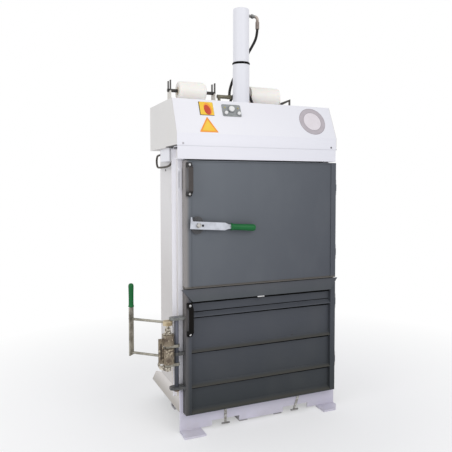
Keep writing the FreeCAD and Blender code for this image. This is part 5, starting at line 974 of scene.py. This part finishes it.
# %% The control plate
PLATE_THICK = 3
CAP_FOOT = 7.5
COLLAR_GAP, COLLAR_WALL = 0.3, 3.5
LAMP_UP = 167
panel = flat_sheet(rectangle(114, 76), 0, PLATE_THICK, slope_place(-189, 151), 8, 0.5)
stand_for(make_piece("control_panel", panel, plate_grey), "control_plate")
BUTTONS = {
    "button_main": (-190, 157, 16.5),
    "button_left": (-227, 131, 9.5),
    "button_right": (-149, 131, 9.5),
}
for node, (x, up, radius) in BUTTONS.items():
    bore = radius + COLLAR_GAP
    outer = bore + COLLAR_WALL
    collar = turned([(bore, 0), (outer, 0), (outer, 3.2), (outer - 0.8, 5), (outer - 1.8, 5.9), (bore, 5.9)],
                    slope_place(x, up, PLATE_THICK), 48, closed=True, width=0.25)
    stand_for(make_piece(node + "_collar", collar, collar_metal), "control_plate")
    cap = turned([(0, 0), (radius, 0), (radius, 7.2), (radius * 0.95, 8.4), (radius * 0.84, 8.95),
                  (radius * 0.5, 8.3), (0, 8.0)], slope_place(x, up, CAP_FOOT), 48)
    stand_for(make_piece(node + "_cap", cap, button_white), node)
for word, x in (("left", -228), ("right", -148)):
    lens = turned([(0, 0), (4.5, 0), (4.5, 1.6), (4.0, 2.8), (2.6, 3.7), (0, 4.0)],
                  slope_place(x, LAMP_UP, PLATE_THICK), 32)
    stand_for(make_piece("lamp_" + word, lens, lamp_lens), "control_plate")
print(len(BUTTONS), "buttons and two lamps")

# %% [markdown]
# ## Hoses and cable
# Each hose is one NURBS curve whose control points are the corners of its route in the CAD source. The curve
# stays inside those corners, which gives the hose its easy hang, and a round bevel gives it its body.

# %% Hoses and the cable loop
HOSE_RADIUS, CABLE_RADIUS = 8.2, 6
CABLE_X = -500


def hose(name, points, radius, finish, *nodes):
    """A round hose along control points in millimetres."""
    data = bpy.data.curves.new(name, "CURVE")
    data.dimensions = "3D"
    line = data.splines.new("NURBS")
    line.points.add(len(points) - 1)
    for point, place in zip(line.points, points):
        point.co = (*(Vector(place) * MM), 1)
    line.order_u = 3
    line.use_endpoint_u = True
    line.resolution_u = 10
    data.bevel_depth = radius * MM
    data.bevel_resolution = 6
    data.use_fill_caps = True
    data.materials.append(finish.material)
    piece = bpy.data.objects.new(name, data)
    bpy.context.scene.collection.objects.link(piece)
    return stand_for(piece, *nodes)


HOSE_ROUTES = {
    "pressure_hose": (
        (89, 4, 2333), (88, 8, 2298), (80, 20, 2262), (69, 40, 2232), (53, 58, 2196), (31, 70, 2152),
        (7, 76, 2108), (-20, 77, 2066), (-44, 75, 2028), (-57, 72, 1996), (-66, 70, 1968),
        (-70.6, 70, 1946), (-71, 70, 1928.4)),
    "return_hose": (
        (-21, 69, 1985.4), (-22, 70, 1962), (-34, 74, 1938), (-50, 80, 1914), (-60, 84, 1888),
        (-62, 85, 1866), (-62, 85, 1844)),
    "side_hose": (
        (33, 38, 1992.6), (33, 37, 1972), (35.5, 32, 1950), (41, 22, 1926), (48, 11, 1902), (55, 3, 1878),
        (58, 0, 1862), (58.5, -0.5, 1844.4)),
}
CABLE_IN_YZ = ((93, 1551), (178.5, 1551), (198, 1537), (205.3, 1514), (198, 1491), (178.5, 1477), (120, 1475.5),
               (55, 1475), (-5, 1476), (-55, 1480), (-92, 1491), (-122, 1506), (-145, 1506))
for name, route in HOSE_ROUTES.items():
    hose(name, route, HOSE_RADIUS, rubber, "hydraulic_hoses")
hose("loop_cable", [(CABLE_X, y, z) for y, z in CABLE_IN_YZ], CABLE_RADIUS, cable_skin, "cable_loop")
print(len(HOSE_ROUTES), "hoses and one cable")

# %% [markdown]
# The cable comes out of a gland in a pale housing, hangs in a loop and ends in a black plug under a short
# conduit. Gland and conduit are turned. Plug and housing are sheets drawn from the side, with their thickness
# along X, so one matrix turns the flat drawing upright.

# %% What the cable ends in
PLUG_TOP, CONDUIT_Y, CONDUIT_RADIUS = 1543, -154, 5
GLAND_Y, GLAND_Z = 79, 1551
HOUSING_FRONT, HOUSING_LOW = -103, 1506
PLUG_HALF, HOUSING_HALF = 6.5, 12
upright = Matrix.Translation((CABLE_X * MM, 0, 0)) @ Matrix(((0, 0, 1, 0), (1, 0, 0, 0), (0, 1, 0, 0),
                                                             (0, 0, 0, 1)))
conduit = turned([(0, PLUG_TOP), (CONDUIT_RADIUS, PLUG_TOP), (CONDUIT_RADIUS, HOOD_SEAM), (0, HOOD_SEAM)],
                 at_point(CABLE_X, CONDUIT_Y, 0), 24)
stand_for(make_piece("cable_conduit", conduit, white), "cable_loop")
gland = turned([(5.6, 0.2), (9, 0.2), (9, 5), (8.2, 7), (9, 9), (8.6, 12.6), (7.6, 14), (5.6, 14)],
               at_point(CABLE_X, GLAND_Y, GLAND_Z, "Y"), 32, closed=True)
stand_for(make_piece("cable_gland", gland, black), "cable_loop")
plug_side = [(-163, 1503), (-159, 1499), (-145, 1499), (-145, 1540), (-148, PLUG_TOP), (-160, PLUG_TOP),
             (-163, 1540)]
plug = flat_sheet(plug_side, -PLUG_HALF, PLUG_HALF, upright, 0, 0.8)
stand_for(make_piece("cable_plug", plug, black), "cable_loop")
housing_side = [(HOUSING_FRONT, HOUSING_LOW), (GLAND_Y, HOUSING_LOW), (GLAND_Y, HOOD_SEAM),
                (HOUSING_FRONT, HOOD_SEAM)]
housing = flat_sheet(housing_side, -HOUSING_HALF, HOUSING_HALF, upright, 0, 1.5)
stand_for(make_piece("cable_housing", housing, white), "cable_loop")
print("a gland, a plug, a conduit and a housing")

# %% [markdown]
# Under each rib and under the lip a line of shade lies on the panel, and here it is painted: a thin black
# strip with an uneven lower edge, narrower towards the latch. The sheltered top rib has one along its upper
# edge too.

# %% Painted shadow under the ribs and the lip
PANEL_FACE = span("lower_door_panel", Y)[0]
RIB_FEET = (259.6, 455.0, 650.4)
RIB_TALL = 29
LIP_FOOT = 738
STRIP_END = 446
STRIP_STEPS = 60
STRIP_PROUD = 0.25


def shadow_strip(form, top, tall_left, tall_right):
    """A strip of quads on the panel, whose lower edge wanders a little."""
    rows = []
    for level in (0, 1):
        row = []
        for index in range(STRIP_STEPS + 1):
            part = index / STRIP_STEPS
            tall = tall_left + (tall_right - tall_left) * part + 0.5 * math.sin(index * 0.7)
            spot = Vector((STRIP_END * (2 * part - 1), PANEL_FACE - STRIP_PROUD, top - tall * level))
            row.append(form.verts.new(spot * MM))
        rows.append(row)
    for index in range(STRIP_STEPS):
        form.faces.new((rows[1][index], rows[1][index + 1], rows[0][index + 1], rows[0][index]))


strips = bmesh.new()
for foot in RIB_FEET:
    shadow_strip(strips, foot, 9.5, 13.0)
shadow_strip(strips, LIP_FOOT, 15.0, 16.5)
shadow_strip(strips, RIB_FEET[-1] + RIB_TALL, 5.5, 4.0)
shadow_piece = make_piece("rib_painted_shadow", strips, shadow_black)
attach(shadow_piece, "lower_door")
print(len(RIB_FEET), "ribs and a lip have their line")

# %% [markdown]
# Last come the small marks that tell how the machine was made: tack welds at the ends of the ribs and a plug
# in the left wall. A dark sheet in the slot of the latch's bar is painted shade. A tack is a flattened dome.

# %% Tacks, painted shade in the slot, and a plug
TACKS = ((447, 667), (447, 482), (193, 481), (447, 289), (213, 288))
TACK_RADIUS = 4.4
PLUG_Y, PLUG_Z = 115, 1460
SLOT_WIDE, SLOT_LONG, SLOT_SHADE_HALF = 8, 86, 3
tacks = bmesh.new()
for index, (x, z) in enumerate(TACKS):
    made = bmesh.ops.create_icosphere(tacks, subdivisions=2, radius=TACK_RADIUS * MM)["verts"]
    bmesh.ops.scale(tacks, vec=(1.2, 0.45, 0.8 + 0.1 * (index % 3)), verts=made)
    bmesh.ops.translate(tacks, vec=Vector((x, PANEL_FACE + 0.4, z)) * MM, verts=made)
tack_piece = make_piece("rib_tacks", tacks, catch_zinc)
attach(tack_piece, "lower_door")
slot_middle = [middle_of("slotted_strap", axis) for axis in (X, Y, Z)]
slot_place = at_point(*slot_middle) @ Matrix.Rotation(math.radians(90), 4, "X")
# The dark sheet in the slot of the latch's bar is painted shade, not grease.
slot_shade_form = flat_sheet(rectangle(SLOT_WIDE, SLOT_LONG), -SLOT_SHADE_HALF, SLOT_SHADE_HALF, slot_place)
slot_shade_sheet = make_piece("slot_painted_shade", slot_shade_form, slot_shade_paint)
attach(slot_shade_sheet, body_of("slotted_strap"))
wall_spot = Vector((span("blank_plate", X)[1], PLUG_Y, PLUG_Z)) * MM
wall_plug = turned([(0, 0), (6.2, 0), (6.2, 1.2), (5.2, 2.0), (2.0, 2.2), (0, 1.6)],
                   Matrix.Translation(wall_spot) @ Matrix.Rotation(math.radians(-90), 4, "Y"), 24)
plug_piece = make_piece("wall_plug", wall_plug, black)
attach(plug_piece, "frame")
print(len(TACKS), "tacks, a slot of grease and a plug")

# %% [markdown]
# ## Finish
# Camera, floor and lights. The camera stands where the photographer stood, to the front left and a little
# above half the machine's height. Its place, lens and shift were solved from the machine's straight edges.

# %% Camera
camera_data = bpy.data.cameras.new("photo_camera")
camera = bpy.data.objects.new("photo_camera", camera_data)
bpy.context.scene.collection.objects.link(camera)
camera_data.lens = 43.07
camera_data.sensor_width = 36
camera_data.shift_x = -0.0266
camera_data.shift_y = -0.0398
camera.location = (-1.3977, -3.0480, 1.3797)
camera.rotation_euler = (math.radians(87.41), 0, math.radians(-23.96))
bpy.context.scene.camera = camera
print("camera", [round(value, 2) for value in camera.location])

# %% [markdown]
# The floor is pale and matt and keeps the machine's soft shadow. To the camera it also gives a little light
# of its own, which grows with the distance, so that it runs into the white world with no horizon. The extra
# light is for camera and mirror rays only and never reaches the machine.

# %% Floor and backdrop
FLOOR_HALF = 14
GLOW_NEAR, GLOW_FAR, LEAST_GLOW = 0.9, 2.6, 0.4
WHITE = (1, 1, 1, 1)


def straight_rays(tree):
    """One for rays that show the background: straight from the camera, off a mirror or through glass."""
    path = tree.nodes.new("ShaderNodeLightPath")
    total = path.outputs["Is Camera Ray"]
    for word in ("Is Glossy Ray", "Is Transmission Ray"):
        pick = tree.nodes.new("ShaderNodeMath")
        pick.operation = "MAXIMUM"
        tree.links.new(total, pick.inputs[0])
        tree.links.new(path.outputs[word], pick.inputs[1])
        total = pick.outputs[0]
    return total


floor_form = bmesh.new()
bmesh.ops.create_grid(floor_form, x_segments=1, y_segments=1, size=FLOOR_HALF)
floor_finish = Finish("studio_floor", (244, 244, 245), 0.9)
floor = make_piece("studio_floor", floor_form, floor_finish)
away = floor_finish.add("ShaderNodeVectorMath", {0: floor_finish.place}, operation="LENGTH").outputs["Value"]
far = floor_finish.between(away, GLOW_NEAR, GLOW_FAR, LEAST_GLOW, 1.0)
shown = floor_finish.times(far, straight_rays(floor_finish.tree))
glow = floor_finish.add("ShaderNodeEmission", {"Color": WHITE, "Strength": 1.0}).outputs[0]
blend = floor_finish.add("ShaderNodeMixShader", {0: shown, 1: floor_finish.shader.outputs[0], 2: glow})
floor_finish.tree.links.new(blend.outputs[0], floor_finish.tree.nodes["Material Output"].inputs["Surface"])

world = bpy.data.worlds.new("studio")
bpy.context.scene.world = world
world.use_nodes = True
tree = world.node_tree
sky = tree.nodes["Background"]
sky.inputs["Color"].default_value = (0.96, 0.97, 1.0, 1.0)
sky.inputs["Strength"].default_value = 0.75
seen = tree.nodes.new("ShaderNodeBackground")
seen.inputs["Color"].default_value = WHITE
seen.inputs["Strength"].default_value = 1.0
choose = tree.nodes.new("ShaderNodeMixShader")
tree.links.new(straight_rays(tree), choose.inputs[0])
tree.links.new(sky.outputs[0], choose.inputs[1])
tree.links.new(seen.outputs[0], choose.inputs[2])
tree.links.new(choose.outputs[0], tree.nodes["World Output"].inputs["Surface"])
print("a floor of", 2 * FLOOR_HALF, "metres and a white world")

# %% [markdown]
# The photograph has soft light from the front and the left, with hardly a shadow. Two large area lamps give
# that, and stay dim enough for the pale sheets not to clip to white.

# %% Two soft lamps
LAMP_SIZE = 2.4


def soft_light(name, place, aim, power):
    data = bpy.data.lights.new(name, "AREA")
    data.shape = "RECTANGLE"
    data.size = data.size_y = LAMP_SIZE
    data.energy = power
    lamp = bpy.data.objects.new(name, data)
    bpy.context.scene.collection.objects.link(lamp)
    lamp.location = place
    lamp.rotation_euler = (Vector(aim) - Vector(place)).to_track_quat("-Z", "Y").to_euler()


soft_light("key", (1.2, -4.2, 3.6), (0, 0, 1.2), 43)
soft_light("fill", (-4.0, -1.6, 2.4), (0, 0, 1.1), 35)
bpy.context.scene.view_settings.view_transform = "Standard"
print("two soft lamps of", LAMP_SIZE, "metres")
